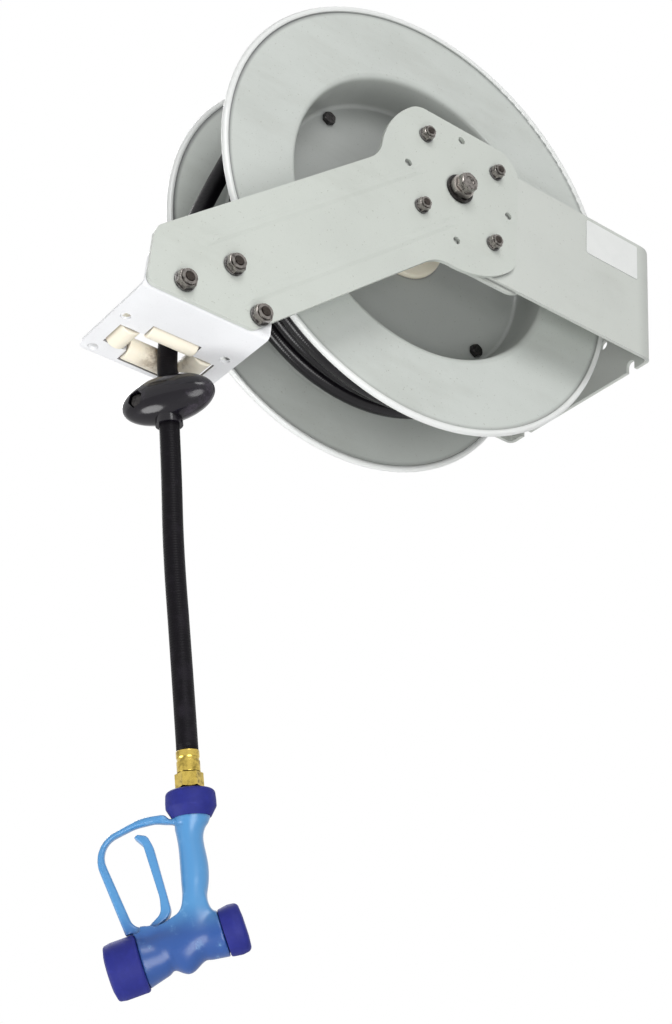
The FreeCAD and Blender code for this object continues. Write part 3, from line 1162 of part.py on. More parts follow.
def hose_end_fittings():
    """Crimped ferrule on the hose, and the nipple with its hexagon and spigot."""
    stem_hole = NIPPLE_STEM_R + THREAD_FIT
    crimp_r = FERRULE_R - FERRULE_CRIMP
    ferrule = turned([(stem_hole, 0, 0), (FERRULE_R, 0, 1.0), (FERRULE_R, FERRULE * 0.3, 0),
                      (crimp_r, FERRULE * 0.36, 0), (crimp_r, FERRULE * 0.44, 0),
                      (FERRULE_R, FERRULE * 0.5, 0), (FERRULE_R, FERRULE, 0.8), (stem_hole, FERRULE, 0)],
                     GUN_END, GUN_DOWN)
    hex_at = GUN_END + GUN_DOWN * NIPPLE_HEX_AT
    spigot_at = GUN_END + GUN_DOWN * NIPPLE_SPIGOT_AT
    stem_in = 1.0
    nipple = rod(NIPPLE_STEM_R, GUN_END + GUN_DOWN * stem_in, GUN_DOWN, NIPPLE_SPIGOT_AT - stem_in)
    nipple = nipple.fuse(hexagon(NIPPLE_FLATS, hex_at, GUN_DOWN, NIPPLE_HEX))
    nipple = nipple.fuse(rod(NIPPLE_SPIGOT_R, spigot_at, GUN_DOWN, NIPPLE_SPIGOT))
    nipple = nipple.cut(rod(WATERWAY_R, GUN_END, GUN_DOWN, NIPPLE_SPIGOT_AT + NIPPLE_SPIGOT))
    return {"ferrule": [ferrule], "hose_nipple": [nipple.removeSplitter()]}


def gun_body():
    """Moulded body: inlet boss, oval grip, finger guard, shoulder and barrel, with its bores."""
    cap_in = INLET_CAP_TOP + CAP_WALL
    boss_foot = INLET_CAP_FOOT + 6
    boss = turned([(0, cap_in, 0), (INLET_BOSS_R, cap_in, 0), (INLET_BOSS_R, INLET_CAP_FOOT + 1, 0),
                   (INLET_BOSS_R * 0.85, boss_foot, 0), (0, boss_foot, 0)], GUN_END, GUN_DOWN)
    grip = loft_through(GUN_END, GUN_DOWN, GUN_BACK, GRIP_OVALS)
    barrel = loft_through(GUN_NOSE, GUN_BARREL, BARREL_UNDER, BARREL_OVALS)
    core_r = CHAMBER_R + CAP_WALL
    ends = barrel_turned([(0, FRONT_CAP_LIP, 0), (NOSE_R, FRONT_CAP_LIP, 0), (NOSE_R, NOSE_END, 0),
                          (core_r, NOSE_END, 0), (core_r, TAIL_START - 4, 0), (TAIL_R, TAIL_START - 4, 0),
                          (TAIL_R, TAIL_END, 0), (0, TAIL_END, 0)])
    guard = gun_slab(GUARD_OUTLINE, GUARD_HALF).cut(gun_slab(GUARD_WINDOW, GUARD_HALF + 1))
    guard = round_gun_edges(guard, GUARD_ROUND, 140, -9)
    shoulder = gun_slab(SHOULDER_OUTLINE, SHOULDER_HALF)
    body = boss.fuse(grip).fuse(barrel).fuse(ends).fuse(shoulder).fuse(guard)
    body = body.cut(gun_slab(GUARD_GAP, INLET_CAP_R))
    spigot_room = NIPPLE_SPIGOT_AT + NIPPLE_SPIGOT + 0.5 - cap_in
    body = body.cut(rod(NIPPLE_SPIGOT_R + SHAFT_FIT, gun_place(0, cap_in), GUN_DOWN, spigot_room))
    body = body.cut(rod(WATERWAY_R, gun_place(0, cap_in), GUN_DOWN, WATERWAY_END - cap_in))
    before_nose = GUN_NOSE - GUN_BARREL * REAR_CAP_R
    body = body.cut(ring(FRONT_CAP_R + CAP_CLEARANCE, NOSE_R, before_nose, GUN_BARREL,
                         REAR_CAP_R + FRONT_CAP + CAP_FIT))
    body = body.cut(ring(INLET_CAP_R + CAP_CLEARANCE, INLET_BOSS_R, gun_place(0, cap_in), GUN_DOWN,
                         INLET_CAP_FOOT + CAP_FIT - cap_in))
    rear_cap_front = GUN_NOSE + GUN_BARREL * (TAIL_START - CAP_FIT)
    body = body.cut(ring(2 * REAR_CAP_R, TAIL_R, rear_cap_front, GUN_BARREL, REAR_CAP_R))
    slot_half = TRIGGER_HALF + TRIGGER_SLOT_CLEARANCE
    slot = gun_slab(TRIGGER_SLOT, slot_half)
    eye_room_r = TRIGGER_EYE_R + TRIGGER_SLOT_CLEARANCE
    slot = slot.fuse(rod(eye_room_r, GUN_PIVOT - GUN_NEAR * slot_half, GUN_NEAR, 2 * slot_half))
    body = body.cut(slot)
    stem_hole = STEM_R + STEM_FIT
    bore_end = TAIL_END + 1
    bores = barrel_turned([(0, FRONT_CAP_LIP - 1, 0), (FRONT_CAP_MOUTH_R, FRONT_CAP_LIP - 1, 0),
                           (FRONT_CAP_MOUTH_R, SEAT_START, 0), (CHAMBER_R, SEAT_START, 0),
                           (CHAMBER_R, SEAT_END, 0), (stem_hole, SEAT_END, 0), (stem_hole, SPRING_ROOM, 0),
                           (CHAMBER_R, SPRING_ROOM, 0), (CHAMBER_R, bore_end, 0), (0, bore_end, 0)])
    body = body.cut(bores)
    body = body.cut(trigger_pin_rod(TRIGGER_PIN_R + PRESS_CLEARANCE))
    return body.removeSplitter()


def trigger_pin_rod(radius):
    return rod(radius, GUN_PIVOT - GUN_NEAR * TRIGGER_PIN_HALF, GUN_NEAR, 2 * TRIGGER_PIN_HALF)


def gun_trigger():
    """Curved lever on a cross pin, slotted round the valve stem, and its pin."""
    trigger = gun_slab(TRIGGER_OUTLINE, TRIGGER_HALF)
    trigger = round_gun_edges(trigger, TRIGGER_ROUND, 136, 0)
    eye = rod(TRIGGER_EYE_R, GUN_PIVOT - GUN_NEAR * TRIGGER_HALF, GUN_NEAR, 2 * TRIGGER_HALF)
    trigger = trigger.fuse(eye).removeSplitter().cut(trigger_pin_rod(TRIGGER_PIN_R + TRIGGER_FIT))
    fork_r = STEM_R + FORK_CLEARANCE
    trigger = trigger.cut(barrel_turned([(0, 30, 0), (fork_r, 30, 0), (fork_r, 80, 0), (0, 80, 0)]))
    return {"gun_trigger": [trigger], "trigger_pin": [trigger_pin_rod(TRIGGER_PIN_R)]}


def gun_valve():
    """Valve stem with its head and collar, and the spring that closes it."""
    collar_end = STEM_COLLAR_AT + STEM_COLLAR
    head_end = STEM_START + STEM_HEAD
    push_end = PUSH_COLLAR_AT + PUSH_COLLAR
    stem = barrel_turned([(0, STEM_START, 0), (STEM_HEAD_R, STEM_START, 0.5), (STEM_HEAD_R, head_end, 0),
                          (STEM_R, head_end + STEM_HEAD, 0), (STEM_R, PUSH_COLLAR_AT, 0),
                          (PUSH_COLLAR_R, PUSH_COLLAR_AT, 0), (PUSH_COLLAR_R, push_end, 0),
                          (STEM_R, push_end, 0), (STEM_R, STEM_COLLAR_AT, 0),
                          (STEM_COLLAR_R, STEM_COLLAR_AT, 0), (STEM_COLLAR_R, collar_end, 0),
                          (STEM_R, collar_end, 0), (STEM_R, STEM_END, 0), (0, STEM_END, 0)])

    def around_stem(radius, turn, distance):
        angle = 2 * math.pi * turn
        spoke = GUN_NEAR * math.cos(angle) + BARREL_UNDER * math.sin(angle)
        return GUN_NOSE + GUN_BARREL * distance + spoke * radius

    low = collar_end + VALVE_SPRING_WIRE_R + SPRING_SEAT_GAP
    high = TAIL_END - VALVE_SPRING_WIRE_R - SPRING_SEAT_GAP
    wound = coil(around_stem, VALVE_SPRING_TURNS, VALVE_SPRING_R, low, high, VALVE_SPRING_WIRE_R)
    edges, start, tangent = wound[:3]
    least_gap(edges, VALVE_SPRING_WIRE_R, 1.0, "valve spring")
    return {"valve_stem": [stem], "valve_spring": [pipe(edges, VALVE_SPRING_WIRE_R, start, tangent)]}


def gun_caps():
    """Ribbed rubber caps at the inlet, the nose and the tail, and the nozzle in the nose."""
    cap_in = INLET_CAP_TOP + CAP_WALL
    cap_foot_r = INLET_BOSS_R + 1.2
    mouth = NIPPLE_SPIGOT_R + 0.5
    inlet_cap = turned([(mouth, INLET_CAP_TOP, 0), (INLET_CAP_R * 0.97, INLET_CAP_TOP, 4.0),
                        (INLET_CAP_R, INLET_CAP_TOP + 9, 3.0), (INLET_CAP_R, INLET_CAP_FOOT - 8, 3.0),
                        (cap_foot_r, INLET_CAP_FOOT, 0), (INLET_BOSS_R, INLET_CAP_FOOT, 0),
                        (INLET_BOSS_R, cap_in, 0), (mouth, cap_in, 0)], GUN_END, GUN_DOWN)
    insert_r = FRONT_CAP_MOUTH_R - CAP_FIT
    nozzle = barrel_turned([(NOZZLE_HOLE_R, 1.5, 0), (NOZZLE_HOLE_R + 2, 1.5, 0), (NOZZLE_HOLE_R + 4, 4.0, 0),
                            (insert_r - 0.9, 4.0, 0), (insert_r, 5.0, 0), (insert_r, SEAT_START, 0),
                            (NOZZLE_HOLE_R, SEAT_START, 0)])
    nose_in = NOSE_R + CAP_FIT
    lip_in = FRONT_CAP_LIP - CAP_FIT
    front_cap = barrel_turned([(FRONT_CAP_MOUTH_R, -FRONT_CAP_DOME, 1.0), (FRONT_CAP_R * 0.95, 0, 2.5),
                               (FRONT_CAP_R, 6.0, 4.0), (FRONT_CAP_R, FRONT_CAP, 2.5),
                               (nose_in, FRONT_CAP, 0), (nose_in, lip_in, 0), (FRONT_CAP_MOUTH_R, lip_in, 0)])
    tail_in = TAIL_R + CAP_FIT
    rear_cap = barrel_turned([(tail_in, TAIL_START, 0), (REAR_CAP_R * 0.93, TAIL_START, 2.0),
                              (REAR_CAP_R, TAIL_START + 9, 8.0), (REAR_CAP_R * 0.95, REAR_CAP_END - 1, 4.5),
                              (8.0, REAR_CAP_END, 3.0), (0, REAR_CAP_END, 0), (0, TAIL_END + CAP_FIT, 0),
                              (tail_in, TAIL_END + CAP_FIT, 0)])
    return {"inlet_cap": [inlet_cap], "nozzle_insert": [nozzle],
            "front_cap": [front_cap], "rear_cap": [rear_cap]}


def main():
    nodes = {"wall_frame": [wall_frame()], "rating_plate": [rating_plate()],
             "near_bearing_plate": [bearing_plate(-1)], "far_bearing_plate": [bearing_plate(1)],
             "guide_arm": [guide_arm()], "roller_bracket": [roller_bracket()],
             "near_disc": [disc(-1, NEAR_FLANGE_R)], "far_disc": [disc(1, FAR_FLANGE_R)]}
    band = ring(RECESS_FLOOR_R, RECESS_FLOOR_R - DISC_SHEET, from_axle(0, -FLOOR_IN_Y, 0), Y, 2 * FLOOR_IN_Y)
    nodes["drum_band"] = [band]
    for group in (head_fasteners(), arm_end_fasteners(), shaft_pieces(), rollers(), drum_fasteners(), hubs(),
                  power_spring(), ratchet()):
        nodes.update(group)
    core, turns, drum_end, drum_tangent = winding()
    nodes["hose_core"] = [core]
    nodes["hose_winding"] = [turns]
    points, lead, free, split = hose_route(drum_end, drum_tangent)
    nodes["hose_lead"] = [pipe(lead, HOSE_R, drum_end, drum_tangent)]
    second = unit(points[len(LEAD_POINTS) + 1] - points[len(LEAD_POINTS)])
    nodes["hose_free"] = [pipe(free, HOSE_R, split, second)]
    nodes.update(ball_stop(points))
    nodes["gun_body"] = [gun_body()]
    for group in (hose_end_fittings(), gun_trigger(), gun_valve(), gun_caps()):
        nodes.update(group)
    print("gun: end", GUN_END, "back", GUN_BACK, "near", GUN_NEAR, "down", GUN_DOWN)
    print("gun: barrel", GUN_BARREL, "trigger pivot", GUN_PIVOT, "nose", GUN_NOSE)
    os.makedirs("parts", exist_ok=True)
    for name, solids in nodes.items():
        shape = solids[0] if len(solids) == 1 else Part.makeCompound(solids)
        if not shape.isValid() or len(shape.Solids) != len(solids):
            print("check", name, "valid", shape.isValid(), "solids", len(shape.Solids), "of", len(solids))
        shape.exportStep("parts/%s.step" % name)
    print(len(nodes), "nodes written")


main()
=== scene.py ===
import math

import bmesh
import bpy
from mathutils import Matrix, Vector


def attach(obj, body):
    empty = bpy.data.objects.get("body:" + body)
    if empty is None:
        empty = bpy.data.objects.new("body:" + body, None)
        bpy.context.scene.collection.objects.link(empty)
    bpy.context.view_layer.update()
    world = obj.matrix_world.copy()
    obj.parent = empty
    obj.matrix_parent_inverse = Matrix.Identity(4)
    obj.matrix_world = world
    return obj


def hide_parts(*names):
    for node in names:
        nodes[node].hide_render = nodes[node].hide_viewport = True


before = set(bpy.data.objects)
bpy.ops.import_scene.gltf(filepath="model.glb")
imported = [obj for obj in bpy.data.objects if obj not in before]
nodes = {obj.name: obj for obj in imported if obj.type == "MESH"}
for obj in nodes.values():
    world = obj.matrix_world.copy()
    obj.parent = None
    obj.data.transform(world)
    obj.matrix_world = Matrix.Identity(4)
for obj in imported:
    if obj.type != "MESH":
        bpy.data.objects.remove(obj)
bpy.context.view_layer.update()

# Camera: it stands low, in front of the guide arm's side and about 1.8 m from the reel, and looks up
# at it through a slightly long lens.
CAMERA_AT = Vector((-1.0874, -1.2058, -1.1331))
CAMERA_RIGHT = Vector((0.8156, -0.5739, 0.0738))
CAMERA_UP = Vector((-0.3316, -0.3591, 0.8724))
CAMERA_LENS = 59.85
CAMERA_REACH = 50


def put_in_scene(name, data):
    """New object of the scene, which shows a mesh, a lamp or a camera."""
    shown = bpy.data.objects.new(name, data)
    bpy.context.scene.collection.objects.link(shown)
    return shown


camera = put_in_scene("camera", bpy.data.cameras.new("camera"))
camera.data.lens = CAMERA_LENS
camera.data.clip_end = CAMERA_REACH
backwards = CAMERA_RIGHT.cross(CAMERA_UP).normalized()
upwards = backwards.cross(CAMERA_RIGHT).normalized()
standing = Matrix((CAMERA_RIGHT.normalized(), upwards, backwards)).transposed().to_4x4()
standing.translation = CAMERA_AT
camera.matrix_world = standing
bpy.context.scene.camera = camera
bpy.context.scene.view_settings.view_transform = "Standard"

# Free hose: 18.5 mm rubber hose with a fine ribbed cover, black. It leaves the drum's upper turns,
# bows out a little, is pulled tight to the rollers and hangs from them under the weight of the gun.
# Angles are counted round the axle, from the wall upwards, and Y along it.
AXLE = Vector((-0.272, 0, 0))
HOSE_R = 0.00925
UPPER_R = 0.1945
LEAVE_ANGLE = 162.5
LEAVE_Y = 0.006
LEAD_START = 0.090
LEAD_POINTS = ((-0.244, -0.013, -0.130), (-0.256, -0.023, -0.193),
               (-0.2548, -0.0285, -0.2355), (-0.2545, -0.030, -0.277))
FREE_POINTS = ((-0.2336, -0.030, -0.386), (-0.2214, -0.030, -0.461), (-0.2016, -0.030, -0.5497))
HOSE_END = (-0.1835, -0.030, -0.6353)
LINE_STEPS = 24
FREE_HOSE_SIDES = 40
HOSE_BLACK = (15, 13, 17)
HOSE_WORN = (48, 44, 52)
RIB_PITCH = 0.0024
RUBBER_GRAIN_DEPTH = 0.00005


def colour(red, green, blue):
    """Colour as it is seen, 0 to 255, turned into linear light."""
    def linear(value):
        value = value / 255
        return value / 12.92 if value <= 0.04045 else ((value + 0.055) / 1.055) ** 2.4
    return (linear(red), linear(green), linear(blue), 1)


class Wire:
    """One output of a shader node, which can be used in sums and products."""

    def __init__(self, shading, socket):
        self.shading = shading
        self.socket = socket

    def combine(self, operation, first, second):
        return self.shading.node("ShaderNodeMath", {"operation": operation}, {0: first, 1: second})

    def __add__(self, other):
        return self.combine("ADD", self, other)

    def __radd__(self, other):
        return self.combine("ADD", other, self)

    def __sub__(self, other):
        return self.combine("SUBTRACT", self, other)

    def __rsub__(self, other):
        return self.combine("SUBTRACT", other, self)

    def __mul__(self, other):
        return self.combine("MULTIPLY", self, other)

    def __rmul__(self, other):
        return self.combine("MULTIPLY", other, self)

    def highest(self, other):
        return self.combine("MAXIMUM", self, other)

    def sine(self):
        return self.combine("SINE", self, 0)

    def rise(self, low, high):
        """0 below low, 1 above high, smooth between."""
        return self.shading.node("ShaderNodeMapRange", {"interpolation_type": "SMOOTHSTEP"},
                                 {"Value": self, "From Min": low, "From Max": high})

    def out(self, name):
        """Another output of the same node."""
        return Wire(self.shading, self.socket.node.outputs[name])


class Shading:
    """The shader nodes of one material, or of the surroundings."""

    def __init__(self, owner):
        owner.use_nodes = True
        self.tree = owner.node_tree
        self.tree.nodes.clear()

    def node(self, kind, settings=None, sockets=None, output=0):
        """New node, with its settings and then the values or links of its sockets: one of its outputs."""
        node = self.tree.nodes.new(kind)
        for name, value in (settings or {}).items():
            setattr(node, name, value)
        for name, value in (sockets or {}).items():
            if isinstance(value, Wire):
                self.tree.links.new(value.socket, node.inputs[name])
            else:
                node.inputs[name].default_value = value
        return Wire(self, node.outputs[output]) if node.outputs else None


class Finish(Shading):
    """A surface finish, whose pattern is fixed to the object in metres."""

    def __init__(self, name):
        self.material = bpy.data.materials.new(name)
        super().__init__(self.material)
        self.place = self.node("ShaderNodeTexCoord").out("Object")

    def vector(self, operation, first, second=(0, 0, 0), output=0):
        return self.node("ShaderNodeVectorMath", {"operation": operation}, {0: first, 1: second}, output)

    def stretched(self, scale):
        """The place, scaled apart along X, Y and Z."""
        return self.vector("MULTIPLY", self.place, scale)

    def from_point(self, point, scale=(1, 1, 1)):
        """Distance from a point, with X, Y and Z counted by scale."""
        shifted = self.vector("SUBTRACT", self.place, tuple(point))
        return self.vector("LENGTH", self.vector("MULTIPLY", shifted, scale), output="Value")

    def along(self, axis):
        return self.node("ShaderNodeSeparateXYZ", {}, {"Vector": self.place}).out(axis)

    def noise(self, scale, detail=3, roughness=0.55, place=None):
        return self.node("ShaderNodeTexNoise", {}, {"Vector": place or self.place, "Scale": scale,
                                                    "Detail": detail, "Roughness": roughness})

    def corners(self, reach):
        """1 deep in a corner or a seam, 0 on an open face."""
        open_share = self.node("ShaderNodeAmbientOcclusion", {"samples": 8}, {"Distance": reach}, "AO")
        return 1 - open_share.rise(0.35, 0.95)

    def mix(self, share, first, second):
        return self.node("ShaderNodeMix", {"data_type": "RGBA"}, {0: share, 6: first, 7: second}, 2)

    def bump(self, height, depth, strength=1.0, normal=None):
        """Relief as deep as depth in metres, on top of other relief if there is any."""
        sockets = {"Height": height, "Distance": depth, "Strength": strength}
        if normal is not None:
            sockets["Normal"] = normal
        return self.node("ShaderNodeBump", {}, sockets)

    def surface(self, sockets):
        shader = self.node("ShaderNodeBsdfPrincipled", {}, sockets)
        self.node("ShaderNodeOutputMaterial", {}, {"Surface": shader})
        return self.material


def ring_of_points(mesh, middle, side, across, radius, count):
    """Corners of a round ring, counted from side towards across."""
    ring = []
    for k in range(count):
        angle = 2 * math.pi * k / count
        spoke = side * math.cos(angle) + across * math.sin(angle)
        ring.append(mesh.verts.new(middle + spoke * radius))
    return ring


def band(mesh, ring, following):
    """Faces from one ring to the next, in order round them."""
    faces = []
    for k in range(len(ring)):
        after = (k + 1) % len(ring)
        faces.append(mesh.faces.new((ring[k], ring[after], following[after], following[k])))
    return faces


def tube(name, path, radius, sides):
    """Closed round tube along points close together, with a UV map in metres: round it and along it."""
    mesh = bmesh.new()
    uv = mesh.loops.layers.uv.new("tube")
    last = len(path) - 1
    tangents = [(path[min(i + 1, last)] - path[max(i - 1, 0)]).normalized() for i in range(len(path))]
    side = tangents[0].orthogonal().normalized()
    rings, distances, travelled = [], [], 0.0
    for i, (point, tangent) in enumerate(zip(path, tangents)):
        if i:
            side = tangents[i - 1].rotation_difference(tangent) @ side
            side = (side - tangent * side.dot(tangent)).normalized()
            travelled += (point - path[i - 1]).length
        rings.append(ring_of_points(mesh, point, side, tangent.cross(side), radius, sides))
        distances.append(travelled)
    round_step = 2 * math.pi * radius / sides
    for i in range(last):
        for k, face in enumerate(band(mesh, rings[i], rings[i + 1])):
            face.smooth = True
            spots = ((k, i), (k + 1, i), (k + 1, i + 1), (k, i + 1))
            for loop, (around, along) in zip(face.loops, spots):
                loop[uv].uv = (around * round_step, distances[along])
    mesh.faces.new(list(reversed(rings[0])))
    mesh.faces.new(rings[-1])
    data = bpy.data.meshes.new(name)
    mesh.to_mesh(data)
    mesh.free()
    return put_in_scene(name, data)


def around_axle(radius, degrees, y):
    angle = math.radians(degrees)
    return AXLE + Vector((radius * math.cos(angle), y, radius * math.sin(angle)))


leaving = Vector((-math.sin(math.radians(LEAVE_ANGLE)), 0, math.cos(math.radians(LEAVE_ANGLE))))
drum_end = around_axle(UPPER_R, LEAVE_ANGLE, LEAVE_Y) + leaving * (2 * HOSE_R)
route = [drum_end, drum_end + leaving * LEAD_START]
route += [AXLE + Vector(point) for point in LEAD_POINTS + FREE_POINTS + (HOSE_END,)]
line = bpy.data.curves.new("hose_line", "CURVE")
line.dimensions = "3D"
line.resolution_u = LINE_STEPS
spline = line.splines.new("NURBS")
spline.points.add(len(route) - 1)
for point, place in zip(spline.points, route):
    point.co = (*place, 1)
spline.order_u = 3
spline.use_endpoint_u = True
line_object = bpy.data.objects.new("hose_line", line)
line_mesh = bpy.data.meshes.new_from_object(line_object)
hose_path = [vertex.co.copy() for vertex in line_mesh.vertices]
bpy.data.objects.remove(line_object)

free_hose = tube("free_hose", hose_path, HOSE_R, FREE_HOSE_SIDES)


def hose_cover(name, rib_depth, rough, gloss):
    """Black rubber cover with fine ribs round it, greyed where it rubs."""
    rubber = Finish(name)
    spread = rubber.node("ShaderNodeUVMap", {"uv_map": "tube"})
    along = rubber.node("ShaderNodeSeparateXYZ", {}, {"Vector": spread}).out("Y")
    ribs = (along * (2 * math.pi / RIB_PITCH)).sine() * 0.5 + 0.5
    scuffs = rubber.noise(38, detail=5).rise(0.55, 0.78)
    dust = rubber.noise(220, detail=3).rise(0.5, 0.8)
    tone = rubber.mix(scuffs * 0.4 + dust * 0.15, colour(*HOSE_BLACK), colour(*HOSE_WORN))
    grain = rubber.bump(rubber.noise(900, detail=2), RUBBER_GRAIN_DEPTH)
    return rubber.surface({"Base Color": tone, "Roughness": rough + scuffs * 0.2, "Specular IOR Level": gloss,
                           "Normal": rubber.bump(ribs, rib_depth, strength=0.6, normal=grain)})


free_hose.data.materials.append(hose_cover("hose_rubber", rib_depth=0.0002, rough=0.42, gloss=0.1))
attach(free_hose, "stand")
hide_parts("hose_lead", "hose_free")

# Wound hose: one length of the same hose on the drum. The lower layer starts at the riser pipe and
# fills the drum as far as the near disc, climbs, and three upper turns come back to where it leaves.
# Its cover is pressed smooth and shines a little more than the free hose's.
LOWER_R = 0.17575
LOWER_START_ANGLE = 203.5
LOWER_START_Y = 0.043
LOWER_TURNS = 5
NEAR_TURN_Y = -0.0525
CLIMB_ANGLE = 62
UPPER_TURNS = 3
STEP_ANGLE = 3
WOUND_HOSE_SIDES = 28

upper_start = LEAVE_ANGLE + 360 * LOWER_TURNS
climb_start = upper_start - CLIMB_ANGLE
wound_angle = upper_start + 360 * UPPER_TURNS - LOWER_START_ANGLE
steps = round(wound_angle / STEP_ANGLE)
wound_path = []
for i in range(steps + 1):
    angle = LOWER_START_ANGLE + wound_angle * i / steps
    if angle < climb_start:
        share = (angle - LOWER_START_ANGLE) / (climb_start - LOWER_START_ANGLE)
        wound_path.append(around_axle(LOWER_R, angle, LOWER_START_Y + (NEAR_TURN_Y - LOWER_START_Y) * share))
    elif angle < upper_start:
        share = (angle - climb_start) / CLIMB_ANGLE
        climb = share * share * (3 - 2 * share)
        wound_path.append(around_axle(LOWER_R + (UPPER_R - LOWER_R) * climb, angle, NEAR_TURN_Y))
    else:
        share = (angle - upper_start) / (360 * UPPER_TURNS)
        wound_path.append(around_axle(UPPER_R, angle, NEAR_TURN_Y + (LEAVE_Y - NEAR_TURN_Y) * share))
wound_path.append(drum_end)
wound_hose = tube("wound_hose", wound_path, HOSE_R, WOUND_HOSE_SIDES)
wound_hose.data.materials.append(hose_cover("wound_rubber", rib_depth=0.00008, rough=0.2, gloss=0.4))
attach(wound_hose, "drum")
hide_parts("hose_winding", "hose_core")

# Wall frame and the bearing plates inside its uprights: 4 mm folded steel, powder coated pale grey.
# The coat is satin with fine orange peel. Painted shade darkens the seams and the web's face behind the
# discs.
FRAME_GREY = (207, 211, 205)
SEAM_SHADE_GREY = (52, 50, 56)
SEAM_REACH = 0.004
PAINTED_SHADE_GREY = (72, 70, 76)
RIM_HIGHLIGHT_PALE = (240, 242, 240)
DUSTED = 0.88
GRUBBED = (0.62, 0.61, 0.57)
PEEL_DEPTH = 0.00005
WEB_FACES_DRUM = (-0.022, -0.006)
WEB_FACES_WALL = (-0.0035, -0.001)
WEB_SHADE = 0.2


def powder_coat(name, shade, darkening, extra=None, rim=None):
    """Satin powder coat with orange peel, clouds of dust, dark specks and painted shade in its corners.

    extra and rim are functions of the finish. They give how much more painted shade darkens it, and how pale
    a painted highlight makes a rim.
    """
    coat = Finish(name)
    clouds = coat.noise(9, detail=4, roughness=0.6).rise(0.35, 0.75)
    smears = coat.noise(5, detail=5, roughness=0.65, place=coat.stretched((1.0, 1.0, 3.4))).rise(0.5, 0.72)
    specks = 1 - coat.noise(520, detail=1, roughness=0.4).rise(0.235, 0.27)
    grain = coat.noise(760, detail=2, roughness=0.7)
    pale = colour(*shade)
    darker = tuple(value * DUSTED for value in pale[:3]) + (1,)
    grubby = tuple(value * kept for value, kept in zip(pale[:3], GRUBBED)) + (1,)
    tone = coat.mix(clouds * 0.5 + (grain - 0.5) * 0.55, pale, darker)
    tone = coat.mix((smears * 0.16 + specks * 0.5) * darkening, tone, grubby)
    # Painted shade: dark grey in seams and corners, where shade falls.
    tone = coat.mix(coat.corners(SEAM_REACH) * 0.75, tone, colour(*SEAM_SHADE_GREY))
    # More painted shade, dark grey, where extra gives it.
    if extra:
        tone = coat.mix(extra(coat), tone, colour(*PAINTED_SHADE_GREY))
    # Painted highlight: near white on the rim, where rim gives it.
    if rim:
        tone = coat.mix(rim(coat), tone, colour(*RIM_HIGHLIGHT_PALE))
    peel = coat.noise(620, detail=2, roughness=0.5)
    return coat.surface({"Base Color": tone, "Roughness": 0.36 + clouds * 0.07 + smears * 0.08,
                         "Coat Weight": 0.35, "Coat Roughness": 0.16,
                         "Normal": coat.bump(peel, PEEL_DEPTH, strength=0.55)})


def web_painted_shade(coat):
    """Painted shade, grey, on the web's face towards the drum, and none on its face to the wall."""
    towards_web = coat.along("X").rise(*WEB_FACES_DRUM)
    return towards_web * (1 - coat.along("X").rise(*WEB_FACES_WALL)) * WEB_SHADE


def dress(material, *names):
    """Give solids of the frame their finish."""
    for name in names:
        for place in nodes[name].material_slots:
            place.material = material


dress(powder_coat("frame_coat", FRAME_GREY, 1.0, extra=web_painted_shade),
      "wall_frame", "near_bearing_plate", "far_bearing_plate")

# Blank plate on the near upright: white laminated foil, stuck to the coat. Its clear film is glossy,
# and the white under it has gone a little grey in places.
PLATE_WHITE = (238, 240, 238)
PLATE_DULL = (220, 223, 221)

plate = Finish("blank_plate")
foil = plate.noise(60, detail=4).rise(0.4, 0.8)
plate_tone = plate.mix(foil * 0.25, colour(*PLATE_WHITE), colour(*PLATE_DULL))
dress(plate.surface({"Base Color": plate_tone, "Roughness": 0.28 + foil * 0.1,
                     "Coat Weight": 0.4, "Coat Roughness": 0.1}), "rating_plate")

# Guide arm: 4 mm steel plate with a round head and two shallow pressed ribs, in the same coat as the
# frame. It is bolted to the near upright and carries the roller bracket at its lower end.
ARM_GREY = (205, 210, 203)

dress(powder_coat("arm_coat", ARM_GREY, 1.1), "guide_arm")

# Bolts, washers and lock nuts: plated steel gone dark, brighter where the spanner has rubbed them.
# The thread shows on the bolt ends that stand out of the nuts in front of the arm.
THREAD_PITCH = 0.00125
THREAD_DEPTH = 0.0003
THREAD_STARTS = 0.0005
SCRATCH_DEPTH = 0.00004
NUT_SEAM_REACH = 0.003
NUT_SEAM_SHADE = (18, 16, 15)
ARM_FRONT_Y = -0.1205


def plated(name, shade, dark, rough, threaded=False):
    """Plated or oiled steel with dark stains, fine scratches and painted shade in its seams."""
    metal = Finish(name)
    stain = metal.noise(260, detail=4, roughness=0.6).rise(0.42, 0.72)
    scratches = metal.noise(90, detail=3, roughness=0.6, place=metal.stretched((1.0, 7.0, 1.0)))
    seams = metal.corners(NUT_SEAM_REACH)
    tone = metal.mix(stain * 0.75, colour(*shade), colour(*dark))
    # Painted shade: near black in the seams and corners, where shade falls.
    tone = metal.mix(seams * 0.8, tone, colour(*NUT_SEAM_SHADE))
    normal = metal.bump(scratches, SCRATCH_DEPTH, strength=0.5)
    if threaded:
        outside = 1 - metal.along("Y").rise(ARM_FRONT_Y, ARM_FRONT_Y + THREAD_STARTS)
        turns = (metal.along("Y") * (2 * math.pi / THREAD_PITCH)).sine() * outside
        normal = metal.bump(turns, THREAD_DEPTH, strength=0.9, normal=normal)
    return metal.surface({"Base Color": tone, "Metallic": 1.0, "Roughness": rough + stain * 0.2,
                          "Normal": normal})


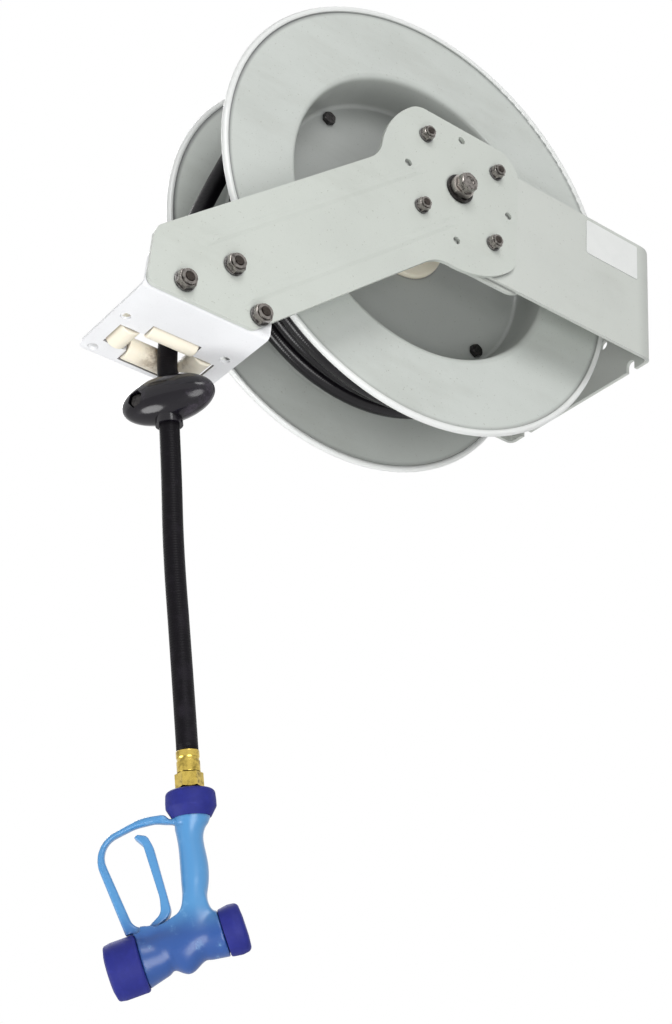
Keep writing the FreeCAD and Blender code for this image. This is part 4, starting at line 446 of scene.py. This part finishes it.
nut_steel = plated("nut_steel", (138, 133, 129), (40, 37, 36), rough=0.2)
zinc = plated("zinc_plate", (150, 150, 150), (60, 58, 58), rough=0.24)
blackened = plated("blackened_steel", (70, 68, 68), (28, 27, 27), rough=0.27)
bolt_steel = plated("bolt_steel", (70, 64, 60), (24, 22, 21), rough=0.3, threaded=True)
bright_steel = plated("bright_steel", (184, 179, 174), (150, 144, 139), rough=0.42)
dress(nut_steel, "head_nuts", "arm_end_nuts", "shaft_end_bolt")
dress(zinc, "head_washers", "arm_end_washers", "tie_nuts", "hub_screws", "shaft_far_nut", "riser_nut",
      "shaft_far_washer")
dress(bolt_steel, "head_bolts", "arm_end_bolts")
dress(blackened, "tie_bolts", "shaft_washer")
dress(bright_steel, "main_shaft", "long_roller_pins", "short_roller_pins")

# Roller bracket: 3 mm folded sheet with a cross shaped window for the hose and lugs that hold the roller
# pins.
# Its coat is painted nearly white, paler than the frame's coat, as painted light. Three bolts fix it to the
# arm's lower end.
BRACKET_LIT_WHITE = (245, 246, 248)

dress(powder_coat("bracket_coat", BRACKET_LIT_WHITE, 0.4), "roller_bracket")

# Rollers and hub flanges: turned cream nylon, a little translucent. The rollers run free on their
# pins and are rubbed brown where the hose passes between them.
NYLON_CREAM = (255, 247, 228)
HOSE_GRIME = (112, 84, 50)
NYLON_SEAM_SHADE = (96, 76, 52)
NYLON_GRAIN_DEPTH = 0.00003
OUTLET = Vector((-0.519, -0.013, -0.270))
GRIME_REACH = (0.010, 0.034)

cream = Finish("cream_nylon")
grime = cream.noise(75, detail=6, roughness=0.7).rise(0.40, 0.66)
near_hose = 1 - cream.from_point(OUTLET).rise(*GRIME_REACH)
nylon_tone = cream.mix(near_hose * (grime * 0.75 + 0.18), colour(*NYLON_CREAM), colour(*HOSE_GRIME))
# Painted shade: darker brown in the seams and corners, where shade falls.
nylon_tone = cream.mix(cream.corners(SEAM_REACH) * 0.6, nylon_tone, colour(*NYLON_SEAM_SHADE))
nylon_grain = cream.bump(cream.noise(420, detail=2), NYLON_GRAIN_DEPTH, strength=0.5)
dress(cream.surface({"Base Color": nylon_tone, "Roughness": 0.38 + grime * 0.2,
                     "Subsurface Weight": 0.08, "Subsurface Radius": (0.004, 0.003, 0.002),
                     "Normal": nylon_grain}),
      "near_roller", "far_roller", "left_roller", "right_roller", "near_hub", "swivel_hub")

# Discs: 2 mm pressed steel with a deep recess and a rolled rim, powder coated after welding.
# Painted shade lies in the groove beside the rim, most on the side of the rollers, and in the recess.
# A painted highlight keeps the rolled rim palest, and a painted shadow lies on the far disc where the hose
# runs past.
DISC_GREY = (206, 211, 206)
NEAR_GROOVE_R = 0.2432
FAR_GROOVE_R = 0.2282
GROOVE_WIDTH = 0.0050
RIM_STARTS = 0.0008
ROLLER_SIDE_X = (-0.50, -0.36)
RECESS_R = 0.164
RECESS_EDGE = (RECESS_R - 0.004, RECESS_R + 0.002)
RECESS_SHADE = 0.42
LEAD_PASSES = (-0.455, 0.073, -0.130)
LEAD_SHADOW_REACH = (0.02, 0.12)


def groove_and_recess(groove_r, lead_shadow):
    """Painted shade of one disc: in its groove and its recess, and a painted shadow where the hose runs past
    it.
    """
    def darkening(coat):
        from_axle = coat.from_point(AXLE, (1, 0, 1))
        inside = 1 - (groove_r - from_axle).rise(0.0, GROOVE_WIDTH)
        roller_side = 1 - coat.along("X").rise(*ROLLER_SIDE_X)
        recess = 1 - from_axle.rise(*RECESS_EDGE)
        shadow_of_lead = 1 - coat.from_point(LEAD_PASSES).rise(*LEAD_SHADOW_REACH)
        # Painted shade in the groove, heavier on the roller side, and in the recess, and a painted shadow by
        # the lead.
        return inside * (roller_side * 0.45 + 0.3) + recess * RECESS_SHADE + shadow_of_lead * lead_shadow
    return darkening


def rim_painted_highlight(groove_r):
    """1 on the rolled rim outside a disc's groove, where the painted highlight goes."""
    def pale(coat):
        return coat.from_point(AXLE, (1, 0, 1)).rise(groove_r, groove_r + RIM_STARTS)
    return pale


def disc_coat(name, groove_r, lead_shadow):
    return powder_coat(name, DISC_GREY, 1.2, extra=groove_and_recess(groove_r, lead_shadow),
                       rim=rim_painted_highlight(groove_r))


dress(disc_coat("near_disc_coat", NEAR_GROOVE_R, lead_shadow=0.0), "near_disc")
dress(disc_coat("far_disc_coat", FAR_GROOVE_R, lead_shadow=0.5), "far_disc", "drum_band")

# Inlet fitting, riser pipe, ferrule, nipple, and the gun's nozzle and valve stem: turned brass, with
# a brown film over it that is darkest in the corners.
BRASS_BRIGHT = (208, 182, 92)
BRASS_DULL = (92, 78, 34)
BRASS_SEAM = (58, 42, 18)
TURNING_DEPTH = 0.00003

brass = Finish("turned_brass")
film = brass.noise(190, detail=5, roughness=0.6).rise(0.42, 0.7)
brass_tone = brass.mix(film * 0.7, colour(*BRASS_BRIGHT), colour(*BRASS_DULL))
brass_tone = brass.mix(brass.corners(SEAM_REACH) * 0.8, brass_tone, colour(*BRASS_SEAM))
turning = brass.bump(brass.noise(500, detail=2), TURNING_DEPTH, strength=0.5)
dress(brass.surface({"Base Color": brass_tone, "Metallic": 1.0, "Roughness": 0.2 + film * 0.2,
                     "Normal": turning}),
      "inlet_fitting", "ferrule", "hose_nipple", "riser_pipe", "nozzle_insert", "valve_stem")

# Spring, arbor, anchor, ratchet and pawl: oiled steel, out of sight inside the drum and behind the arm.
# The swivel's seals are black rubber rings.
SEAL_BLACK = (24, 24, 25)
SEAL_WORN = (44, 43, 42)

dress(plated("oiled_steel", (120, 117, 112), (52, 47, 42), rough=0.28), "power_spring", "spring_arbor",
      "spring_anchor", "ratchet_wheel", "pawl", "pawl_pin", "pawl_spring", "trigger_pin", "valve_spring")
seal = Finish("seal_rubber")
seal_tone = seal.mix(seal.noise(300, detail=3), colour(*SEAL_BLACK), colour(*SEAL_WORN))
dress(seal.surface({"Base Color": seal_tone, "Roughness": 0.5}), "swivel_seals")

# Ball stop: two moulded halves of glossy black plastic, clamped on the hose by two blackened bolts.
# It is scuffed dull in places, from striking the rollers.
STOP_BLACK = (20, 17, 24)
STOP_RUBBED = (78, 70, 84)
STOP_SEAM_SHADE = (6, 5, 8)
STOP_WAVES = 0.0005

stop = Finish("stop_plastic")
rubbed = stop.noise(45, detail=5, roughness=0.6).rise(0.5, 0.74)
stop_tone = stop.mix(rubbed * 0.5, colour(*STOP_BLACK), colour(*STOP_RUBBED))
# Painted shade: near black in the seams and corners, where shade falls.
stop_tone = stop.mix(stop.corners(SEAM_REACH) * 0.8, stop_tone, colour(*STOP_SEAM_SHADE))
stop_waves = stop.bump(stop.noise(60, detail=2), STOP_WAVES, strength=0.4)
dress(stop.surface({"Base Color": stop_tone, "Roughness": 0.15 + rubbed * 0.25, "Specular IOR Level": 0.4,
                    "Normal": stop_waves}), "stop_front", "stop_back")
dress(blackened, "stop_bolts")

# Wash gun: one hollow moulding, light blue at the grip and guard; painted shade turns it deeper blue at the
# barrel, beginning along the crease of the shoulder. The grip runs into the barrel in soft curves,
# the barrel widens to meet its caps, and two cheeks carry the guard past the trigger.
GUN_END = AXLE + Vector(HOSE_END)
GUN_DOWN = Vector((0.206874, 0, -0.978368))
GUN_BACK = Vector((0.801432, -0.573576, 0.169462))
GUN_NEAR = Vector((-0.561169, -0.819152, -0.118658))
GUN_BARREL = Vector((0.726196, -0.556051, 0.404285))
GUN_NOSE = Vector((-0.476592, 0.010724, -0.816687))
LIGHT_BLUE = (78, 142, 196)
PAINTED_SHADE_BLUE = (34, 78, 148)
PALE_BLUE = (150, 200, 236)
SEAM_SHADE_BLUE = (22, 44, 110)
SHOULDER_DOWN = (0.130, 0.160)
GUN_SEAM_REACH = 0.005
ENAMEL_DEPTH = 0.00004
MOULDING_GRAIN = 0.0011
SAME_CORNER = 0.00001
# Outlines in the middle plane, in metres: back from the hose's line, and down from its end
GUARD_TOP = ((-0.030, 0.0515), (-0.0218, 0.0519), (-0.0178, 0.0560), (-0.012, 0.0562), (-0.012, 0.0603),
             (-0.024, 0.0586), (-0.030, 0.0568))
GUARD_HALF = 0.005
CHEEK = ((-0.046, 0.1390), (-0.036, 0.1390), (-0.0262, 0.1450), (-0.022, 0.1520), (-0.046, 0.1540))
CHEEK_INNER = 0.0077
CHEEK_OUTER = 0.0105
# Rings round the barrel: where each starts, counted from the nose, its radius there, its end and radius
FRONT_FLARE = (0.0264, 0.0208, 0.0460, 0.0160)
REAR_FLARE = (0.0930, 0.0186, 0.0760, 0.0160)
FLARE_SIDES = 56
BARREL_WALL_R = 0.0142
# Where the grip meets the barrel: limits back from the hose's line, down from its end and from the nose
JOIN = ((-0.030, 0.030), (0.108, 0.150), (0.030, 0.090))
NEAR_JOIN = ((-0.045, 0.040), (0.100, math.inf), (0.0275, 0.0915))
JOIN_PASSES = 26
NEAR_JOIN_PASSES = 12
SKIN_PASSES = 3


def plate_in_gun(mesh, points, low, high):
    """Closed flat plate, from an outline in the gun's middle plane."""
    faces = [[], []]
    for side, across in zip(faces, (low, high)):
        for back, down in points:
            side.append(mesh.verts.new(GUN_END + GUN_BACK * back + GUN_DOWN * down + GUN_NEAR * across))
    mesh.faces.new(faces[0])
    mesh.faces.new(list(reversed(faces[1])))
    for k in range(len(points)):
        after = (k + 1) % len(points)
        mesh.faces.new((faces[0][after], faces[0][k], faces[1][k], faces[1][after]))


def flare(mesh, start, start_r, end, end_r):
    """Closed conical ring round the barrel."""
    under = GUN_BARREL.cross(GUN_NEAR).normalized()
    rings = []
    for distance, radius in ((start, BARREL_WALL_R), (start, start_r), (end, end_r), (end, BARREL_WALL_R)):
        middle = GUN_NOSE + GUN_BARREL * distance
        rings.append(ring_of_points(mesh, middle, under, GUN_NEAR, radius, FLARE_SIDES))
    for ring, following in zip(rings, rings[1:] + rings[:1]):
        band(mesh, ring, following)


def in_region(vertex, region):
    """Whether a corner of the gun lies inside the limits of a region."""
    from_end = vertex.co - GUN_END
    from_nose = (vertex.co - GUN_NOSE).dot(GUN_BARREL)
    spot = (from_end.dot(GUN_BACK), from_end.dot(GUN_DOWN), from_nose)
    return all(low < value < high for value, (low, high) in zip(spot, region))


def moulded_body(name, source):
    """Copy of a moulding with its added plates and rings grown together, and its joins softened."""
    mesh = bmesh.new()
    mesh.from_mesh(source.data)
    bmesh.ops.remove_doubles(mesh, verts=mesh.verts, dist=SAME_CORNER)
    plate_in_gun(mesh, GUARD_TOP, -GUARD_HALF, GUARD_HALF)
    plate_in_gun(mesh, CHEEK, CHEEK_INNER, CHEEK_OUTER)
    plate_in_gun(mesh, CHEEK, -CHEEK_OUTER, -CHEEK_INNER)
    flare(mesh, *FRONT_FLARE)
    flare(mesh, *REAR_FLARE)
    bmesh.ops.recalc_face_normals(mesh, faces=mesh.faces)
    joined = bpy.data.meshes.new(name + "_joined")
    mesh.to_mesh(joined)
    mesh.free()
    rough = put_in_scene(name + "_rough", joined)
    grown = rough.modifiers.new("grown", "REMESH")
    grown.mode = "VOXEL"
    grown.voxel_size = MOULDING_GRAIN
    graph = bpy.context.evaluated_depsgraph_get()
    data = bpy.data.meshes.new_from_object(rough.evaluated_get(graph))
    bpy.data.objects.remove(rough)
    mesh = bmesh.new()
    mesh.from_mesh(data)
    join = [vertex for vertex in mesh.verts if in_region(vertex, JOIN)]
    near_join = [vertex for vertex in mesh.verts if in_region(vertex, NEAR_JOIN)]
    for vertices, passes in ((join, JOIN_PASSES), (near_join, NEAR_JOIN_PASSES), (mesh.verts, SKIN_PASSES)):
        for _ in range(passes):
            bmesh.ops.smooth_vert(mesh, verts=vertices, factor=0.5, use_axis_x=True, use_axis_y=True,
                                  use_axis_z=True)
    for face in mesh.faces:
        face.smooth = True
    mesh.to_mesh(data)
    mesh.free()
    data.name = name
    return put_in_scene(name, data)


def moulded(name):
    """Enamelled moulding with painted shade that deepens its blue down the gun, paler where it is rubbed,
    with painted highlight speckles.
    """
    skin = Finish(name)
    down = skin.vector("DOT_PRODUCT", skin.vector("SUBTRACT", skin.place, GUN_END), GUN_DOWN, "Value")
    painted_shade_down = (down + skin.noise(30, detail=3) * 0.012).rise(*SHOULDER_DOWN)
    wear = skin.noise(55, detail=5, roughness=0.65).rise(0.55, 0.72)
    highlight_speckle = skin.noise(340, detail=2).rise(0.56, 0.66)
    # Painted shade: deeper blue down the gun, past the crease of the shoulder.
    tone = skin.mix(painted_shade_down, colour(*LIGHT_BLUE), colour(*PAINTED_SHADE_BLUE))
    # Paler blue where rubbed, with painted highlight speckles in the rubbed places.
    tone = skin.mix(wear * 0.2 + highlight_speckle * wear * 0.4, tone, colour(*PALE_BLUE))
    # Painted shade: dark blue in the seams and corners, where shade falls.
    tone = skin.mix(skin.corners(GUN_SEAM_REACH) * 0.6, tone, colour(*SEAM_SHADE_BLUE))
    return skin.surface({"Base Color": tone, "Roughness": 0.34 + wear * 0.15, "Coat Weight": 0.2,
                         "Coat Roughness": 0.2,
                         "Normal": skin.bump(skin.noise(380, detail=2), ENAMEL_DEPTH, strength=0.5)})


gun_blue = moulded("gun_enamel")
gun_moulding = moulded_body("gun_moulding", nodes["gun_body"])
gun_moulding.data.materials.append(gun_blue)
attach(gun_moulding, "gun")
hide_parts("gun_body")
dress(gun_blue, "gun_trigger")

# Caps of the wash gun: soft dark blue rubber with a matt face, pushed over the grip's end and over
# both ends of the barrel. They are a little paler where they knock against things.
CAP_BLUE = (31, 37, 120)
CAP_WORN = (40, 46, 138)
CAP_SEAM_SHADE = (16, 18, 70)
CAP_GRAIN_DEPTH = 0.00008

cap = Finish("cap_rubber")
cap_wear = cap.noise(160, detail=4).rise(0.4, 0.7)
cap_tone = cap.mix(cap_wear * 0.4, colour(*CAP_BLUE), colour(*CAP_WORN))
# Painted shade: darker blue in the seams and corners, where shade falls.
cap_tone = cap.mix(cap.corners(SEAM_REACH) * 0.7, cap_tone, colour(*CAP_SEAM_SHADE))
cap_grain = cap.bump(cap.noise(700, detail=2), CAP_GRAIN_DEPTH, strength=0.5)
dress(cap.surface({"Base Color": cap_tone, "Roughness": 0.62, "Specular IOR Level": 0.3,
                   "Normal": cap_grain}), "inlet_cap", "front_cap", "rear_cap")

# Floor and surroundings: a plain pale floor far below the reel, and white all round. Both look white
# to the camera and in gloss, and light the reel only softly.
FLOOR_Z = -1.7
FLOOR_HALF = 12
FLOOR_PALE = (244, 244, 244)
FLOOR_SHADED = (238, 238, 238)
FLOOR_WHITE = 0.95
FLOOR_GLOW = 0.6
WHITE = (1, 1, 1, 1)
SURROUNDINGS_LIGHT = 0.21
SURROUNDINGS_SEEN = 1.0

floor_corners = [(x * FLOOR_HALF, y * FLOOR_HALF, FLOOR_Z) for x, y in ((-1, -1), (1, -1), (1, 1), (-1, 1))]
floor_mesh = bpy.data.meshes.new("floor")
floor_mesh.from_pydata(floor_corners, [], [(0, 1, 2, 3)])
floor = put_in_scene("floor", floor_mesh)


def backdrop_ray(shading):
    """1 for a ray that shows what lies behind the reel, straight, in gloss or through glass."""
    rays = shading.node("ShaderNodeLightPath")
    return rays.highest(rays.out("Is Glossy Ray")).highest(rays.out("Is Transmission Ray"))


pale = Finish("floor_pale")
floor_tone = pale.mix(pale.noise(3, detail=3) * 0.3, colour(*FLOOR_PALE), colour(*FLOOR_SHADED))
lit_floor = pale.node("ShaderNodeBsdfPrincipled", {}, {"Base Color": floor_tone, "Roughness": 0.8})
glow = pale.node("ShaderNodeEmission", {}, {"Color": WHITE, "Strength": FLOOR_WHITE})
floor_shader = pale.node("ShaderNodeMixShader", {}, {0: backdrop_ray(pale) * FLOOR_GLOW,
                                                     1: lit_floor, 2: glow})
pale.node("ShaderNodeOutputMaterial", {}, {"Surface": floor_shader})
floor_mesh.materials.append(pale.material)

world = bpy.data.worlds.new("surroundings")
bpy.context.scene.world = world
surroundings = Shading(world)
strength = surroundings.node("ShaderNodeMapRange", {}, {"Value": backdrop_ray(surroundings),
                                                        "To Min": SURROUNDINGS_LIGHT,
                                                        "To Max": SURROUNDINGS_SEEN})
background = surroundings.node("ShaderNodeBackground", {}, {"Color": WHITE, "Strength": strength})
surroundings.node("ShaderNodeOutputWorld", {}, {"Surface": background})

# Lamps: four soft round ones. One stands high in front and one low in front, one shines up at the
# roller bracket from the side, and one stands behind and above.
REEL_MIDDLE = (-0.33, 0, -0.1)
BRACKET_MIDDLE = (-0.5, -0.05, -0.3)


def lamp(name, place, aim, size, power):
    light = bpy.data.lights.new(name, "AREA")
    light.shape = "DISK"
    light.size = size
    light.energy = power
    shown = put_in_scene(name, light)
    shown.location = place
    shown.rotation_euler = (Vector(aim) - Vector(place)).to_track_quat("-Z", "Y").to_euler()


lamp("key", (-1.1, -1.9, 1.1), REEL_MIDDLE, size=1.2, power=23.5)
lamp("low", (-0.7, -1.5, -1.25), REEL_MIDDLE, size=1.2, power=18)
lamp("side", (-1.3, 0.3, -1.4), BRACKET_MIDDLE, size=0.7, power=8)
lamp("behind", (-0.3, 2.0, 1.3), REEL_MIDDLE, size=1.6, power=30)
